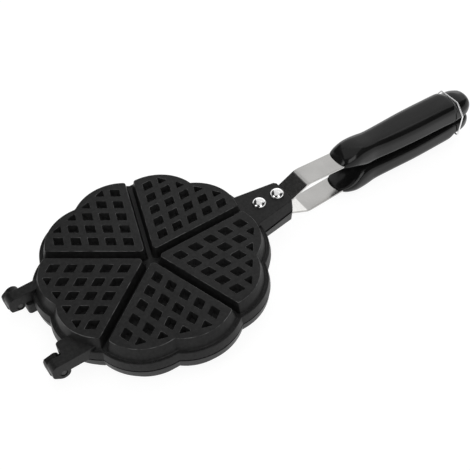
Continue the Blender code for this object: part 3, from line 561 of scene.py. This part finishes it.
def pockets(levels):
    """Tapered bodies at every pocket from rows of (inset, corner radius, z)."""
    whole = [(i, j) for i in range(POCKET_ROWS) for j in range(POCKET_ROWS - i)]
    half = [(i, POCKET_ROWS - i) for i in range(1, POCKET_ROWS)]
    bodies = []
    for heart in range(HEARTS):
        angle = HALF_SECTOR + SECTOR * heart
        for place in whole + half:
            rings = []
            for inset, corner, z in levels:
                outline = closed_rounded(pocket_corners(*place, inset, place in half), corner, FINE_STEPS)
                rings.append(at_height(turned(outline, angle), z))
            bodies.append(rings)
    return bodies


def pocket_cutter():
    slope = POCKET_DRAFT / POCKET_DEPTH
    floor_z = HEART_TOP_Z - POCKET_DEPTH
    levels = []
    for away, up in quarter(FINE_STEPS):
        levels.append((POCKET_DRAFT + POCKET_FILLET * (1 - up) - slope * POCKET_FILLET * away,
                       POCKET_CORNER * (POCKET_FLOOR_CORNER_SHARE + POCKET_CORNER_GROWTH * up),
                       floor_z + POCKET_FILLET * away))
    for away, up in quarter(FINE_STEPS):
        levels.append((slope * POCKET_EDGE - POCKET_EDGE * away, POCKET_CORNER + POCKET_EDGE * away,
                       HEART_TOP_Z - POCKET_EDGE + POCKET_EDGE * up))
    levels.append((slope * POCKET_EDGE - POCKET_EDGE, POCKET_CORNER + POCKET_EDGE, HEART_TOP_Z + OVERRUN))
    return lofted("pockets", pockets(levels))


def pegs():
    inset = POCKET_DRAFT * (HEART_TOP_Z - CAVITY_ROOF_Z) / POCKET_DEPTH - PEG_OFFSET
    slope = PEG_DRAFT / (CAVITY_ROOF_Z - PEG_END_Z)
    levels = []
    for away, up in quarter(FINE_STEPS):
        levels.append((inset + PEG_DRAFT + PEG_ROUNDING * (1 - up), PEG_END_CORNER,
                       PEG_END_Z + PEG_ROUNDING * away))
    levels.append((inset, PEG_ROOT_CORNER, CAVITY_ROOF_Z))
    levels.append((inset - slope * OVERRUN, PEG_ROOT_CORNER, CAVITY_ROOF_Z + OVERRUN))
    return lofted("pegs", pockets(levels))


def cavity_cutter():
    levels = [(ridge, FLOOR_LOBE_RADIUS - step_in, CAVITY_TIP_RADIUS, CAVITY_CORNER_RADIUS, z)
              for ridge, step_in, z in CAVITY_ROWS]
    floor_rows = ((MOUTH_CHAMFER_WIDTH, HALF_PARTING - OVERRUN), (MOUTH_CHAMFER_WIDTH, HALF_PARTING),
                  (0, HALF_PARTING + MOUTH_CHAMFER_HEIGHT), (0, RIDGE_FOOT_Z))
    rings = [at_height(lobe_outline(FLOOR_LOBE_RADIUS + wider), z) for wider, z in floor_rows]
    cavity = combined(lofted("common_cavity", [rings]), lofted("heart_cavities", hearts(levels)), "UNION")
    return combined(cavity, pegs(), "DIFFERENCE")


def box(start, end):
    outline = [(start[0], start[1]), (end[0], start[1]), (end[0], end[1]), (start[0], end[1])]
    return [at_height(outline, start[2]), at_height(outline, end[2])]


def bores():
    bodies = []
    for _, _, start, end in KNUCKLES:
        rows = ((start - OVERRUN, BORE_MOUTH_RADIUS), (start, BORE_MOUTH_RADIUS),
                (start + BORE_CHAMFER, BORE_RADIUS), (end - BORE_CHAMFER, BORE_RADIUS),
                (end, BORE_MOUTH_RADIUS), (end + OVERRUN, BORE_MOUTH_RADIUS))
        bodies.append([along_y(circle((HINGE_X, 0), radius, ROUND_STEPS), y) for y, radius in rows])
    return lofted("pin_bores", bodies)


def plate_mesh():
    mesh = lofted("plate", [base_rings()])
    for addition in (lofted("hearts", hearts(heart_levels())), lofted("tongue", [tongue_rings()]),
                     lofted("arms", [arm_rings(outer_arm_outline), arm_rings(inner_arm_outline)]),
                     lofted("knuckles", knuckles())):
        mesh = combined(mesh, addition, "UNION")
    half = STRAP_HALF + GAP
    channel = lofted("strap_channel", [box((STRAP_START_X - GAP, -half, HALF_PARTING - OVERRUN),
                                           (TONGUE_END_X + OVERRUN, half, CHANNEL_ROOF_Z))])
    rivet_holes = [hole((x, 0), RIVET_HOLE_RADIUS, (CHANNEL_ROOF_Z - OVERRUN, TONGUE_TOP_Z + OVERRUN))
                   for x in RIVETS_X]
    holes = lofted("rivet_holes", rivet_holes)
    for cutter in (tail_cutter(), cavity_cutter(), pocket_cutter(), channel, holes, bores()):
        mesh = combined(mesh, cutter, "DIFFERENCE")
    return mesh


# ---------------------------------------------------------------- straps, rivets, pins, screws

def strap_path():
    start, kink = (STRAP_START_X, STRAP_SEAT_Z), (STRAP_KINK_X, STRAP_SEAT_Z)
    path = [Vector(start)]
    path += corner_arc(start, kink, STRAP_CREST, STRAP_KINK_RADIUS, KINK_STEPS)
    path += corner_arc(kink, STRAP_CREST, TANG_END, STRAP_CREST_RADIUS, CREST_STEPS)
    crest_x, crest_z = STRAP_CREST
    fall = (TANG_END[1] - crest_z) / (TANG_END[0] - crest_x)
    path += [Vector((x, crest_z + (x - crest_x) * fall)) for x in STRAP_STATIONS_X]
    return path + [Vector(TANG_END)]


def directions(path):
    """Direction of a path at each of its points, from the points before and after it."""
    last = len(path) - 1
    return [(path[min(i + 1, last)] - path[max(i - 1, 0)]).normalized() for i in range(len(path))]


def strap_rings(path, widths, grow):
    """Rounded rectangular sections along a path, grown on every side."""
    rings = []
    depth = STRAP_THICKNESS + 2 * grow
    for point, along, width in zip(path, directions(path), widths):
        normal = Vector((along.y, -along.x))
        half = width + grow
        section = closed_rounded([(-half, 0), (half, 0), (half, depth), (-half, depth)], STRAP_EDGE, FINE_STEPS)
        start = point - grow * normal
        rings.append([((start + d * normal).x, y, (start + d * normal).y) for y, d in section])
    return rings


def strap_mesh():
    path = strap_path()
    widths = [STRAP_HALF] * (len(path) - 2) + [TANG_HALF] * 2
    mesh = lofted("handle_strap", [strap_rings(path, widths, 0)])
    holes = [hole((x, 0), RIVET_HOLE_RADIUS, RIVET_HOLE_SPAN_Z) for x in RIVETS_X]
    holes.append(hole((SCREW_X, 0), SCREW_HOLE_RADIUS, SCREW_HOLE_SPAN_Z))
    return combined(mesh, lofted("strap_holes", holes), "DIFFERENCE")


def rivet_mesh():
    seat, tail = TONGUE_TOP_Z + RIVET_SEAT_GAP, STRAP_SEAT_Z - STRAP_THICKNESS - RIVET_SEAT_GAP
    undercut, undercut_height = RIVET_UNDERCUT
    profile = [(radius, tail - below) for radius, below in RIVET_TAIL_ROWS]
    profile += [(RIVET_SHANK_RADIUS, tail), (RIVET_SHANK_RADIUS, seat), (RIVET_HEAD_RADIUS - undercut, seat),
                (RIVET_HEAD_RADIUS, seat + undercut_height)]
    dome_foot = seat + RIVET_HEAD_FOOT
    for i in range(DOME_STEPS):
        angle = math.pi / 2 * i / DOME_STEPS
        profile.append((RIVET_HEAD_RADIUS * math.cos(angle), dome_foot + RIVET_DOME_HEIGHT * math.sin(angle)))
    profile.append((TIP_RADIUS, dome_foot + RIVET_DOME_HEIGHT))
    return lofted("rivet", [spun((0, 0), profile)])


def pin_mesh():
    rows = [(radius, -PIN_HALF_LENGTH + inward) for radius, inward in PIN_END_ROWS]
    rows += [(radius, PIN_HALF_LENGTH - inward) for radius, inward in reversed(PIN_END_ROWS)]
    return lofted("hinge_pin", [[along_y(circle((0, 0), radius, ROUND_STEPS), y) for radius, y in rows]])


# ---------------------------------------------------------------- grips

# Sections along the grip: place, half width, height of its top, of its widest line and of its inner side, all as
# shares of the grip's sizes, and squareness of the inner side.
GRIP_SECTION_SHARES = (
    (0.000, 0.230, 0.570, 0.530, 0.504, 2.2),
    (0.010, 0.540, 0.590, 0.535, 0.478, 2.2),
    (0.026, 0.690, 0.670, 0.542, 0.456, 2.3),
    (0.043, 0.790, 0.785, 0.548, 0.438, 2.3),
    (0.069, 0.880, 0.870, 0.550, 0.398, 2.4),
    (0.114, 0.945, 0.948, 0.544, 0.292, 2.5),
    (0.158, 0.920, 0.966, 0.527, 0.119, 2.8),
    (0.203, 0.890, 0.935, 0.495, 0.070, 3.5),
    (0.262, 0.846, 0.885, 0.460, 0.100, 4.5),
    (0.373, 0.915, 0.850, 0.430, 0.120, 6.0),
    (0.559, 1.000, 0.843, 0.415, 0.115, 7.0),
    (0.759, 1.000, 0.828, 0.398, 0.080, 7.5),
    (0.826, 1.000, 0.815, 0.385, 0.050, 7.5),
    (0.850, 0.993, 0.800, 0.378, 0.042, 7.0),
    (NECK_PLACE_SHARE, 0.985, NECK_TOP_SHARE, 0.373, 0.040, 6.0),
    (0.915, 0.962, 0.745, 0.358, 0.040, 5.0),
    (0.952, 0.862, 0.695, 0.341, 0.040, 4.0),
    (0.981, 0.646, 0.625, 0.319, 0.088, 3.0),
    (1.000, 0.230, 0.400, 0.310, 0.221, 2.2),
)


def eased(value, start, end):
    t = min(max((value - start) / (end - start), 0), 1)
    return t * t * (3 - 2 * t)


def grip_row(share):
    rows = GRIP_SECTION_SHARES
    k = max(i for i, row in enumerate(rows[:-1]) if row[0] <= share)
    here, there = rows[k], rows[k + 1]
    before, beyond = rows[max(k - 1, 0)], rows[min(k + 2, len(rows) - 1)]
    span = there[0] - here[0]
    t = (share - here[0]) / span
    values = []
    for c in range(1, len(here)):
        leaving = span * (there[c] - before[c]) / (there[0] - before[0])
        arriving = span * (beyond[c] - here[c]) / (beyond[0] - here[0])
        values.append((2 * t ** 3 - 3 * t ** 2 + 1) * here[c] + (t ** 3 - 2 * t ** 2 + t) * leaving
                      + (3 * t ** 2 - 2 * t ** 3) * there[c] + (t ** 3 - t ** 2) * arriving)
    return values


def grip_ring(share):
    width, top, waist, underside, foot_power = grip_row(share)
    roundness = max(1 - eased(share, *NOSE_SHARES), eased(share, *NECK_SHARES))
    top_power = GRIP_TOP_SQUARENESS + (ROUND_SQUARENESS - GRIP_TOP_SQUARENESS) * roundness
    ring = []
    for i in range(GRIP_RING_STEPS):
        angle = 2 * math.pi * i / GRIP_RING_STEPS
        c, s = math.cos(angle), math.sin(angle)
        power = top_power if s >= 0 else foot_power
        reach = (top - waist if s >= 0 else waist - underside) * GRIP_HEIGHT
        y = GRIP_HALF_WIDTH * width * math.copysign(abs(c) ** (2 / power), c)
        z = waist * GRIP_HEIGHT + reach * math.copysign(abs(s) ** (2 / power), s)
        ring.append((GRIP_FRONT_X + share * GRIP_LENGTH, y, z))
    return ring


def grip_rings():
    rings = []
    for here, there in zip(GRIP_SECTION_SHARES, GRIP_SECTION_SHARES[1:]):
        span = there[0] - here[0]
        pieces = max(FINE_STEPS, round(span * GRIP_LENGTH / GRIP_RING_SPACING))
        rings += [grip_ring(here[0] + span * i / pieces) for i in range(pieces)]
    rings.append(grip_ring(1))
    return rings


def grip_face(x):
    """Height of the grip's inner side, the one that faces the other grip."""
    _, _, _, underside, _ = grip_row((x - GRIP_FRONT_X) / GRIP_LENGTH)
    return underside * GRIP_HEIGHT


def grip_mesh():
    path = strap_path()[-3:]
    lead = (path[-1] - path[0]).normalized()
    path = [path[0] - (SLOT_LEAD + OVERRUN) * lead] + path
    path[-1] = path[-1] + GAP * lead
    slot = lofted("slot", [strap_rings(path, [STRAP_HALF, STRAP_HALF, TANG_HALF, TANG_HALF], GAP)])
    mesh = combined(lofted("grip", [grip_rings()]), slot, "DIFFERENCE")
    face = grip_face(SCREW_X)
    seat = face + SCREW_SEAT_DEPTH
    profile = [(radius, face + depth) for radius, depth in SCREW_MOUTH_ROWS]
    pocket_radius = profile[-1][0]
    profile += [(pocket_radius, seat), (SCREW_HOLE_RADIUS, seat), (SCREW_HOLE_RADIUS, seat + SCREW_BORE_LENGTH)]
    return combined(mesh, lofted("screw_bore", [spun((SCREW_X, 0), profile)]), "DIFFERENCE")


def ringed(grip):
    """The lower grip has a hole across it for the ends of the wire ring."""
    outline = circle((RING_PIVOT[0], -RING_PIVOT[2]), RING_HOLE_RADIUS, SMALL_HOLE_STEPS)
    rings = [along_y(outline, y) for y in (-RING_HOLE_HALF_LENGTH, RING_HOLE_HALF_LENGTH)]
    return combined(grip, lofted("ring_hole", [rings]), "DIFFERENCE")


def screw_mesh():
    seat = grip_face(SCREW_X) + SCREW_SEAT_DEPTH - GAP
    foot = seat - SCREW_HEAD_HEIGHT
    flat_radius, flat_depth = SCREW_HEAD_FLAT
    profile = [(TIP_RADIUS, foot), (flat_radius, foot + flat_depth)]
    for away, up in quarter(EDGE_STEPS):
        profile.append((SCREW_HEAD_RADIUS - SCREW_HEAD_ROUNDING * (1 - up), foot + SCREW_HEAD_ROUNDING * away))
    point_radius, point_height = SCREW_POINT
    profile += [(SCREW_HEAD_RADIUS, seat), (SCREW_SHANK_RADIUS, seat),
                (SCREW_SHANK_RADIUS, seat + SCREW_SHANK_LENGTH), (point_radius, seat + point_height)]
    mesh = lofted("grip_screw", [spun((SCREW_X, 0), profile)])
    length, width = SCREW_SLOT_HALF_LENGTH, SCREW_SLOT_HALF_WIDTH
    slot = [(-length, -width), (length, -width), (length, width), (-length, width)]
    for turn in (SCREW_SLOT_TURN, SCREW_SLOT_TURN + math.pi / 2):
        outline = [(x + SCREW_X, y) for x, y in turned(slot, turn)]
        rings = [at_height(outline, z) for z in (foot - OVERRUN, foot + SCREW_SLOT_DEPTH)]
        mesh = combined(mesh, lofted("cross_slot", [rings]), "DIFFERENCE")
    return mesh


# ---------------------------------------------------------------- wire ring

def ring_path():
    bar_height = NECK_TOP_SHARE * GRIP_HEIGHT + WIRE_RADIUS + GAP - RING_PIVOT[2]
    shoulder_height = RING_SHOULDER_Z - RING_PIVOT[2]
    foot_y = GRIP_HALF_WIDTH + RING_FOOT_OUT
    half = [Vector((0, foot_y - RING_FOOT_LENGTH, 0)), Vector((0, foot_y, 0)),
            Vector((-RING_LEAN * shoulder_height / bar_height, GRIP_HALF_WIDTH + RING_SHOULDER_OUT,
                    shoulder_height)),
            Vector((-RING_LEAN, GRIP_HALF_WIDTH * RING_BAR_SHARE, bar_height))]
    corners = half + [Vector((p.x, -p.y, p.z)) for p in reversed(half)]
    path = [corners[0]]
    for before, corner, after in zip(corners, corners[1:], corners[2:]):
        path += corner_arc(before, corner, after, RING_BEND_RADIUS, WIRE_BEND_STEPS)
    return path + [corners[-1]]


def wire_mesh(name, path, radius):
    """Round wire along a path."""
    rings = []
    normal = Vector((1, 0, 0))
    angles = [2 * math.pi * k / WIRE_STEPS for k in range(WIRE_STEPS)]
    for point, along in zip(path, directions(path)):
        normal = (normal - along * normal.dot(along)).normalized()
        side = along.cross(normal)
        rings.append([point + radius * (math.cos(a) * normal + math.sin(a) * side) for a in angles])
    return lofted(name, [rings])


# ---------------------------------------------------------------- finishes

class Finish:
    """A node material, with short calls for the nodes that the finishes use."""

    def __init__(self, name, colour, roughness, metallic):
        self.material = bpy.data.materials.new(name)
        self.material.use_nodes = True
        self.tree = self.material.node_tree
        self.shader = self.tree.nodes["Principled BSDF"]
        self.set("Base Color", (*colour, 1))
        self.set("Roughness", roughness)
        self.set("Metallic", metallic)
        position = self.tree.nodes.new("ShaderNodeTexCoord")
        self.place = position.outputs["Object"]
        self.facing = position.outputs["Normal"]

    def set(self, socket, value):
        self.shader.inputs[socket].default_value = value

    def link(self, output, socket):
        self.tree.links.new(output, self.shader.inputs[socket])

    def stretched(self, scale):
        node = self.tree.nodes.new("ShaderNodeMapping")
        node.inputs["Scale"].default_value = scale
        self.tree.links.new(self.place, node.inputs["Vector"])
        return node.outputs["Vector"]

    def noise(self, scale, detail, roughness=0.55, vector=None, distortion=0.0):
        node = self.tree.nodes.new("ShaderNodeTexNoise")
        node.inputs["Scale"].default_value = scale
        node.inputs["Detail"].default_value = detail
        node.inputs["Roughness"].default_value = roughness
        node.inputs["Distortion"].default_value = distortion
        self.tree.links.new(vector or self.place, node.inputs["Vector"])
        return node.outputs["Fac"]

    def spread(self, value, span, result):
        """Maps a span of a value to a span of results."""
        node = self.tree.nodes.new("ShaderNodeMapRange")
        for name, number in zip(("From Min", "From Max", "To Min", "To Max"), (*span, *result)):
            node.inputs[name].default_value = number
        self.tree.links.new(value, node.inputs["Value"])
        return node.outputs["Result"]

    def math(self, operation, a, b):
        node = self.tree.nodes.new("ShaderNodeMath")
        node.operation = operation
        for socket, value in zip(node.inputs, (a, b)):
            if isinstance(value, (int, float)):
                socket.default_value = value
            else:
                self.tree.links.new(value, socket)
        return node.outputs[0]

    def ramp(self, value, stops):
        node = self.tree.nodes.new("ShaderNodeValToRGB")
        band = node.color_ramp
        while len(band.elements) < len(stops):
            band.elements.new(0.5)
        for element, (position, colour) in zip(band.elements, stops):
            element.position = position
            element.color = (*colour, 1)
        self.tree.links.new(value, node.inputs["Fac"])
        return node.outputs["Color"]

    def mixed(self, share, first, second):
        node = self.tree.nodes.new("ShaderNodeMix")
        node.data_type = "RGBA"
        self.tree.links.new(share, node.inputs["Factor"])
        self.tree.links.new(first, node.inputs[FIRST_COLOUR])
        node.inputs[SECOND_COLOUR].default_value = (*second, 1)
        return node.outputs[MIXED_COLOUR]

    def part(self, vector, axis):
        node = self.tree.nodes.new("ShaderNodeSeparateXYZ")
        self.tree.links.new(vector, node.inputs[0])
        return node.outputs[axis]

    def worn_and_highlit_edges(self, edge_patches):
        """Share of wear and painted highlight on the rounded top edges of the hearts, broken up by a noise
        pattern.
        """
        height, facing = self.part(self.place, "Z"), self.part(self.facing, "Z")
        edge_span = (HEART_TOP_Z - EDGE_WEAR_AND_HIGHLIGHT_REACH * HEART_EDGE, HEART_TOP_Z - HEART_EDGE)
        top = self.spread(height, edge_span, NONE_TO_FULL)
        leaning = self.spread(facing, EDGE_WEAR_AND_HIGHLIGHT_FACING, NONE_TO_FULL)
        not_wall = self.spread(facing, WALL_FACING, NONE_TO_FULL)
        patchy_edges = self.spread(edge_patches, EDGE_PATCH_SPAN, EDGE_PATCH_SHARES)
        return self.math("MULTIPLY", self.math("MULTIPLY", top, leaning), self.math("MULTIPLY", not_wall, patchy_edges))

    def pocket_floor_shade(self):
        """One on the floors of the pockets, nought elsewhere: where the pockets get painted shade."""
        height, facing = self.part(self.place, "Z"), self.part(self.facing, "Z")
        floor_z = HEART_TOP_Z - POCKET_DEPTH
        below = self.spread(height, [floor_z + z for z in reversed(POCKET_FLOOR_FADE)], NONE_TO_FULL)
        above = self.spread(height, [floor_z + z for z in POCKET_FLOOR_UNDERSIDE], NONE_TO_FULL)
        level = self.spread(facing, POCKET_FLOOR_FACING, NONE_TO_FULL)
        return self.math("MULTIPLY", self.math("MULTIPLY", below, above), level)

    def bump(self, height, distance, strength, after=None):
        node = self.tree.nodes.new("ShaderNodeBump")
        node.inputs["Distance"].default_value = distance
        node.inputs["Strength"].default_value = strength
        self.tree.links.new(height, node.inputs["Height"])
        if after:
            self.tree.links.new(after, node.inputs["Normal"])
        return node.outputs["Normal"]


def grey(value):
    return (value, value, value)


def two_tones(dark, light):
    """Stops of a ramp between two colours, over the span of a noise."""
    return list(zip(NOISE_SPAN, (dark, light)))


def cast_finish():
    """Dark satin non-stick coat over a casting: orange peel and mottling, the hearts' top edges lightened partly
    as wear and partly as a painted highlight, and the pocket floors given painted shade by reflecting less.
    """
    f = Finish("cast_nonstick", colour=grey(0.012), roughness=0.45, metallic=0.0)
    mottle = f.noise(scale=420, detail=4)
    patch = f.noise(scale=24, detail=3, roughness=0.6)
    shade = f.math("ADD", f.math("MULTIPLY", mottle, 0.6), f.math("MULTIPLY", patch, 0.4))
    coat = f.ramp(shade, ((0.36, grey(0.008)), (0.50, grey(0.014)), (0.66, grey(0.022))))
    edge_patches = f.noise(scale=160, detail=3)
    # The hearts' top edges turn lighter grey: partly wear, partly a painted highlight.
    f.link(f.mixed(f.worn_and_highlit_edges(edge_patches), coat, grey(0.15)), "Base Color")
    f.link(f.spread(patch, NOISE_SPAN, result=(0.36, 0.48)), "Roughness")
    fine = f.bump(f.noise(scale=1900, detail=3), distance=0.00007, strength=0.6)
    f.link(f.bump(f.noise(scale=650, detail=2), distance=0.00012, strength=0.4, after=fine), "Normal")
    # Pocket floors reflect less: painted shade in the recesses.
    f.link(f.spread(f.pocket_floor_shade(), NONE_TO_FULL, result=(0.21, 0.06)), "Specular IOR Level")
    return f.material


def strap_finish():
    """Rolled steel, polished along its length, with faint cross scratches."""
    f = Finish("strap_steel", colour=(0.66, 0.65, 0.63), roughness=0.22, metallic=1.0)
    lines = f.noise(scale=1.0, detail=3, roughness=0.6, vector=f.stretched((40, 2600, 400)))
    clouds = f.noise(scale=60, detail=3)
    marks = f.noise(scale=1.0, detail=2, roughness=0.5, vector=f.stretched((900, 90, 300)), distortion=1.5)
    f.link(f.ramp(clouds, two_tones((0.52, 0.514, 0.502), (0.58, 0.573, 0.56))), "Base Color")
    polish = f.spread(lines, NOISE_SPAN, result=(0.14, 0.19))
    scratches = f.spread(marks, span=(0.62, 0.74), result=(0.0, 0.10))
    f.link(f.math("ADD", polish, scratches), "Roughness")
    f.link(f.bump(lines, distance=0.000004, strength=0.3), "Normal")
    return f.material


def pin_finish():
    """Dark steel of the hinge pins, much darker than the other steel parts."""
    f = Finish("pin_steel", colour=grey(0.05), roughness=0.38, metallic=0.6)
    f.link(f.ramp(f.noise(scale=600, detail=3), two_tones(grey(0.03), grey(0.07))), "Base Color")
    f.link(f.spread(f.noise(scale=900, detail=2), NOISE_SPAN, result=(0.3, 0.45)), "Roughness")
    f.link(f.bump(f.noise(scale=1500, detail=2), distance=0.00003, strength=0.3), "Normal")
    return f.material


def rivet_finish():
    """Polished steel with a faint drawn grain and small dents."""
    f = Finish("rivet_steel", colour=(0.80, 0.80, 0.79), roughness=0.12, metallic=1.0)
    f.link(f.ramp(f.noise(scale=500, detail=3), two_tones(grey(0.88), grey(0.98))), "Base Color")
    f.link(f.spread(f.noise(scale=900, detail=2), NOISE_SPAN, result=(0.08, 0.17)), "Roughness")
    f.link(f.bump(f.noise(scale=420, detail=2), distance=0.00006, strength=0.4), "Normal")
    return f.material


def wire_finish():
    """Bright drawn wire."""
    f = Finish("wire_steel", colour=(0.74, 0.74, 0.73), roughness=0.16, metallic=1.0)
    f.link(f.ramp(f.noise(scale=380, detail=3), two_tones(grey(0.80), grey(0.95))), "Base Color")
    f.link(f.spread(f.noise(scale=700, detail=2), NOISE_SPAN, result=(0.12, 0.24)), "Roughness")
    f.link(f.bump(f.noise(scale=1500, detail=2), distance=0.00002, strength=0.3), "Normal")
    return f.material


def grip_finish():
    """Glossy black moulding with a faint flow mottle and soft handling marks."""
    f = Finish("moulded_black", colour=grey(0.011), roughness=0.13, metallic=0.0)
    f.set("Specular IOR Level", 0.25)
    flow = f.noise(scale=1.0, detail=3, roughness=0.5, vector=f.stretched((26, 90, 90)), distortion=0.6)
    f.link(f.ramp(flow, two_tones(grey(0.008), grey(0.014))), "Base Color")
    f.link(f.spread(f.noise(scale=70, detail=4), NOISE_SPAN, result=(0.10, 0.19)), "Roughness")
    fine = f.bump(f.noise(scale=1900, detail=2), distance=0.000012, strength=0.35)
    f.link(f.bump(f.noise(scale=150, detail=2), distance=0.00006, strength=0.25, after=fine), "Normal")
    return f.material


# ---------------------------------------------------------------- assembly

def smooth(mesh, sharp_from):
    """Smooth shading with sharp edges from an angle in degrees."""
    shape = bmesh.new()
    shape.from_mesh(mesh)
    bmesh.ops.remove_doubles(shape, verts=shape.verts, dist=MERGE_DISTANCE)
    bmesh.ops.recalc_face_normals(shape, faces=shape.faces)
    shape.to_mesh(mesh)
    shape.free()
    mesh.shade_smooth()
    mesh.set_sharp_from_angle(angle=math.radians(sharp_from))
    return mesh


def added(name, data):
    """New object in the scene."""
    item = bpy.data.objects.new(name, data)
    bpy.context.scene.collection.objects.link(item)
    return item


def add_piece(node, mesh, finish, body, matrix):
    """A finished piece that stands for a CAD node and moves with its body."""
    piece = added(node + "_finished", mesh)
    if not mesh.materials:
        mesh.materials.append(finish)
    piece.matrix_world = matrix
    weighted = piece.modifiers.new("flat_faces_stay_flat", "WEIGHTED_NORMAL")
    weighted.keep_sharp = True
    weighted.weight = NORMAL_WEIGHT
    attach(piece, body)
    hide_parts(node)


def shifted(x, y=0.0, z=0.0):
    return Matrix.Translation((x, y, z))


def build_iron():
    cast, strap_steel, rivet_steel = cast_finish(), strap_finish(), rivet_finish()
    wire_steel, moulded, dark_steel = wire_finish(), grip_finish(), pin_finish()
    plate = smooth(plate_mesh(), sharp_from=32)
    strap = smooth(strap_mesh(), sharp_from=40)
    rivet = smooth(rivet_mesh(), sharp_from=40)
    pin = smooth(pin_mesh(), sharp_from=50)
    grip = grip_mesh()
    lower_grip = smooth(ringed(grip.copy()), sharp_from=40)
    grip = smooth(grip, sharp_from=40)
    screw = smooth(screw_mesh(), sharp_from=35)
    middle = shifted(-MIDDLE_X)
    half_turn = Matrix.Rotation(math.pi, 4, "X")
    for side, turn, side_grip in (("upper", middle, grip), ("lower", middle @ half_turn, lower_grip)):
        body = side + "_half"
        add_piece(side + "_plate", plate, cast, body, turn)
        add_piece(side + "_handle_strap", strap, strap_steel, body, turn)
        for place, x in zip(("_inner_rivet", "_outer_rivet"), RIVETS_X):
            add_piece(side + place, rivet, rivet_steel, body, turn @ shifted(x))
        add_piece(side + "_grip", side_grip, moulded, body, turn)
        add_piece(side + "_grip_screw", screw, rivet_steel, body, turn)
    pin_y = (OUTER_ARM_FACE_Y + INNER_ARM_INNER_Y) / 2
    for node, y in (("left_hinge_pin", pin_y), ("right_hinge_pin", -pin_y)):
        add_piece(node, pin, dark_steel, "lower_half", middle @ shifted(HINGE_X, y))
    ring = smooth(wire_mesh("lock_ring", ring_path(), WIRE_RADIUS), sharp_from=60)
    add_piece("lock_ring", ring, wire_steel, "ring", middle @ shifted(*RING_PIVOT))


# ---------------------------------------------------------------- studio

def seen_directly_or_mirrored(tree):
    """One for what the camera, metal and glass show, nought for light that falls on the object."""
    ray = tree.nodes.new("ShaderNodeLightPath")
    seen = ray.outputs["Is Camera Ray"]
    for kind in ("Is Glossy Ray", "Is Transmission Ray"):
        node = tree.nodes.new("ShaderNodeMath")
        node.operation = "MAXIMUM"
        tree.links.new(seen, node.inputs[0])
        tree.links.new(ray.outputs[kind], node.inputs[1])
        seen = node.outputs[0]
    return seen


def mixed_shaders(tree, share, first, second):
    node = tree.nodes.new("ShaderNodeMixShader")
    for socket, output in zip(node.inputs, (share, first, second)):
        tree.links.new(output, socket)
    return node.outputs[0]


def table_finish():
    """White table that keeps the iron's shadow."""
    material = bpy.data.materials.new("table_white")
    material.use_nodes = True
    tree = material.node_tree
    shader = tree.nodes["Principled BSDF"]
    shader.inputs["Base Color"].default_value = (*grey(TABLE_GREY), 1)
    shader.inputs["Roughness"].default_value = TABLE_ROUGHNESS
    shader.inputs["Specular IOR Level"].default_value = TABLE_SPECULAR
    glow = tree.nodes.new("ShaderNodeEmission")
    glow.inputs["Strength"].default_value = TABLE_GLOW
    share = tree.nodes.new("ShaderNodeMath")
    share.operation = "MULTIPLY"
    tree.links.new(seen_directly_or_mirrored(tree), share.inputs[0])
    share.inputs[1].default_value = TABLE_GLOW_SHARE
    shown = mixed_shaders(tree, share.outputs[0], shader.outputs[0], glow.outputs[0])
    tree.links.new(shown, tree.nodes["Material Output"].inputs["Surface"])
    return material


def add_floor():
    """Table that the plates' rear edge and the lower grip rest on."""
    mesh = bpy.data.meshes.new("table")
    shape = bmesh.new()
    half = TABLE_HALF
    corners = [shape.verts.new((x, y, 0)) for x, y in ((-half, -half), (half, -half), (half, half), (-half, half))]
    shape.faces.new(corners)
    shape.to_mesh(mesh)
    shape.free()
    floor = added("table", mesh)
    floor.location = TABLE_PLACE
    floor.rotation_euler = (0, TABLE_TILT, 0)
    mesh.materials.append(table_finish())


def add_world():
    """White backdrop to a little above the horizon, a dim room over it, and an even soft light on the object."""
    world = bpy.data.worlds.new("studio")
    bpy.context.scene.world = world
    world.use_nodes = True
    tree = world.node_tree
    tree.nodes.clear()

    def background():
        node = tree.nodes.new("ShaderNodeBackground")
        node.inputs["Color"].default_value = (*grey(1), 1)
        return node

    direction = tree.nodes.new("ShaderNodeTexCoord")
    height = tree.nodes.new("ShaderNodeSeparateXYZ")
    tree.links.new(direction.outputs["Generated"], height.inputs[0])
    fall = tree.nodes.new("ShaderNodeMapRange")
    for socket, value in zip(("From Min", "From Max", "To Min", "To Max"), (*BACKDROP_TOP, 1.0, ROOM_LEVEL)):
        fall.inputs[socket].default_value = value
    tree.links.new(height.outputs["Z"], fall.inputs["Value"])
    shown, soft = background(), background()
    tree.links.new(fall.outputs["Result"], shown.inputs["Strength"])
    soft.inputs["Strength"].default_value = SOFT_LEVEL
    lit = mixed_shaders(tree, seen_directly_or_mirrored(tree), soft.outputs[0], shown.outputs[0])
    output = tree.nodes.new("ShaderNodeOutputWorld")
    tree.links.new(lit, output.inputs["Surface"])


def add_softbox(name, azimuth, elevation, distance, size, level):
    """Rectangular lamp that looks at the iron. The level is its brightness as a reflection shows it."""
    data = bpy.data.lights.new(name, "AREA")
    data.shape = "RECTANGLE"
    data.size, data.size_y = size
    data.energy = level * math.pi * size[0] * size[1]
    turn, lift = math.radians(azimuth), math.radians(elevation)
    direction = Vector((math.cos(lift) * math.cos(turn), math.cos(lift) * math.sin(turn), math.sin(lift)))
    lamp = added(name, data)
    lamp.location = distance * direction
    lamp.rotation_euler = (-direction).to_track_quat("-Z", "Y").to_euler()


def add_camera():
    data = bpy.data.cameras.new("camera")
    data.sensor_width = CAMERA_SENSOR
    data.lens = CAMERA_LENS
    data.clip_start, data.clip_end = CAMERA_CLIP
    camera = added("camera", data)
    back, right = Vector(CAMERA_BACK).normalized(), Vector(CAMERA_RIGHT)
    right = (right - back * right.dot(back)).normalized()
    rotation = Matrix((right, back.cross(right), back)).transposed()
    camera.matrix_world = Matrix.Translation(CAMERA_PLACE) @ rotation.to_4x4()
    bpy.context.scene.camera = camera


build_iron()
add_floor()
add_world()
for softbox in SOFTBOXES:
    add_softbox(*softbox)
add_camera()

scene = bpy.context.scene
scene.view_settings.view_transform = "Standard"
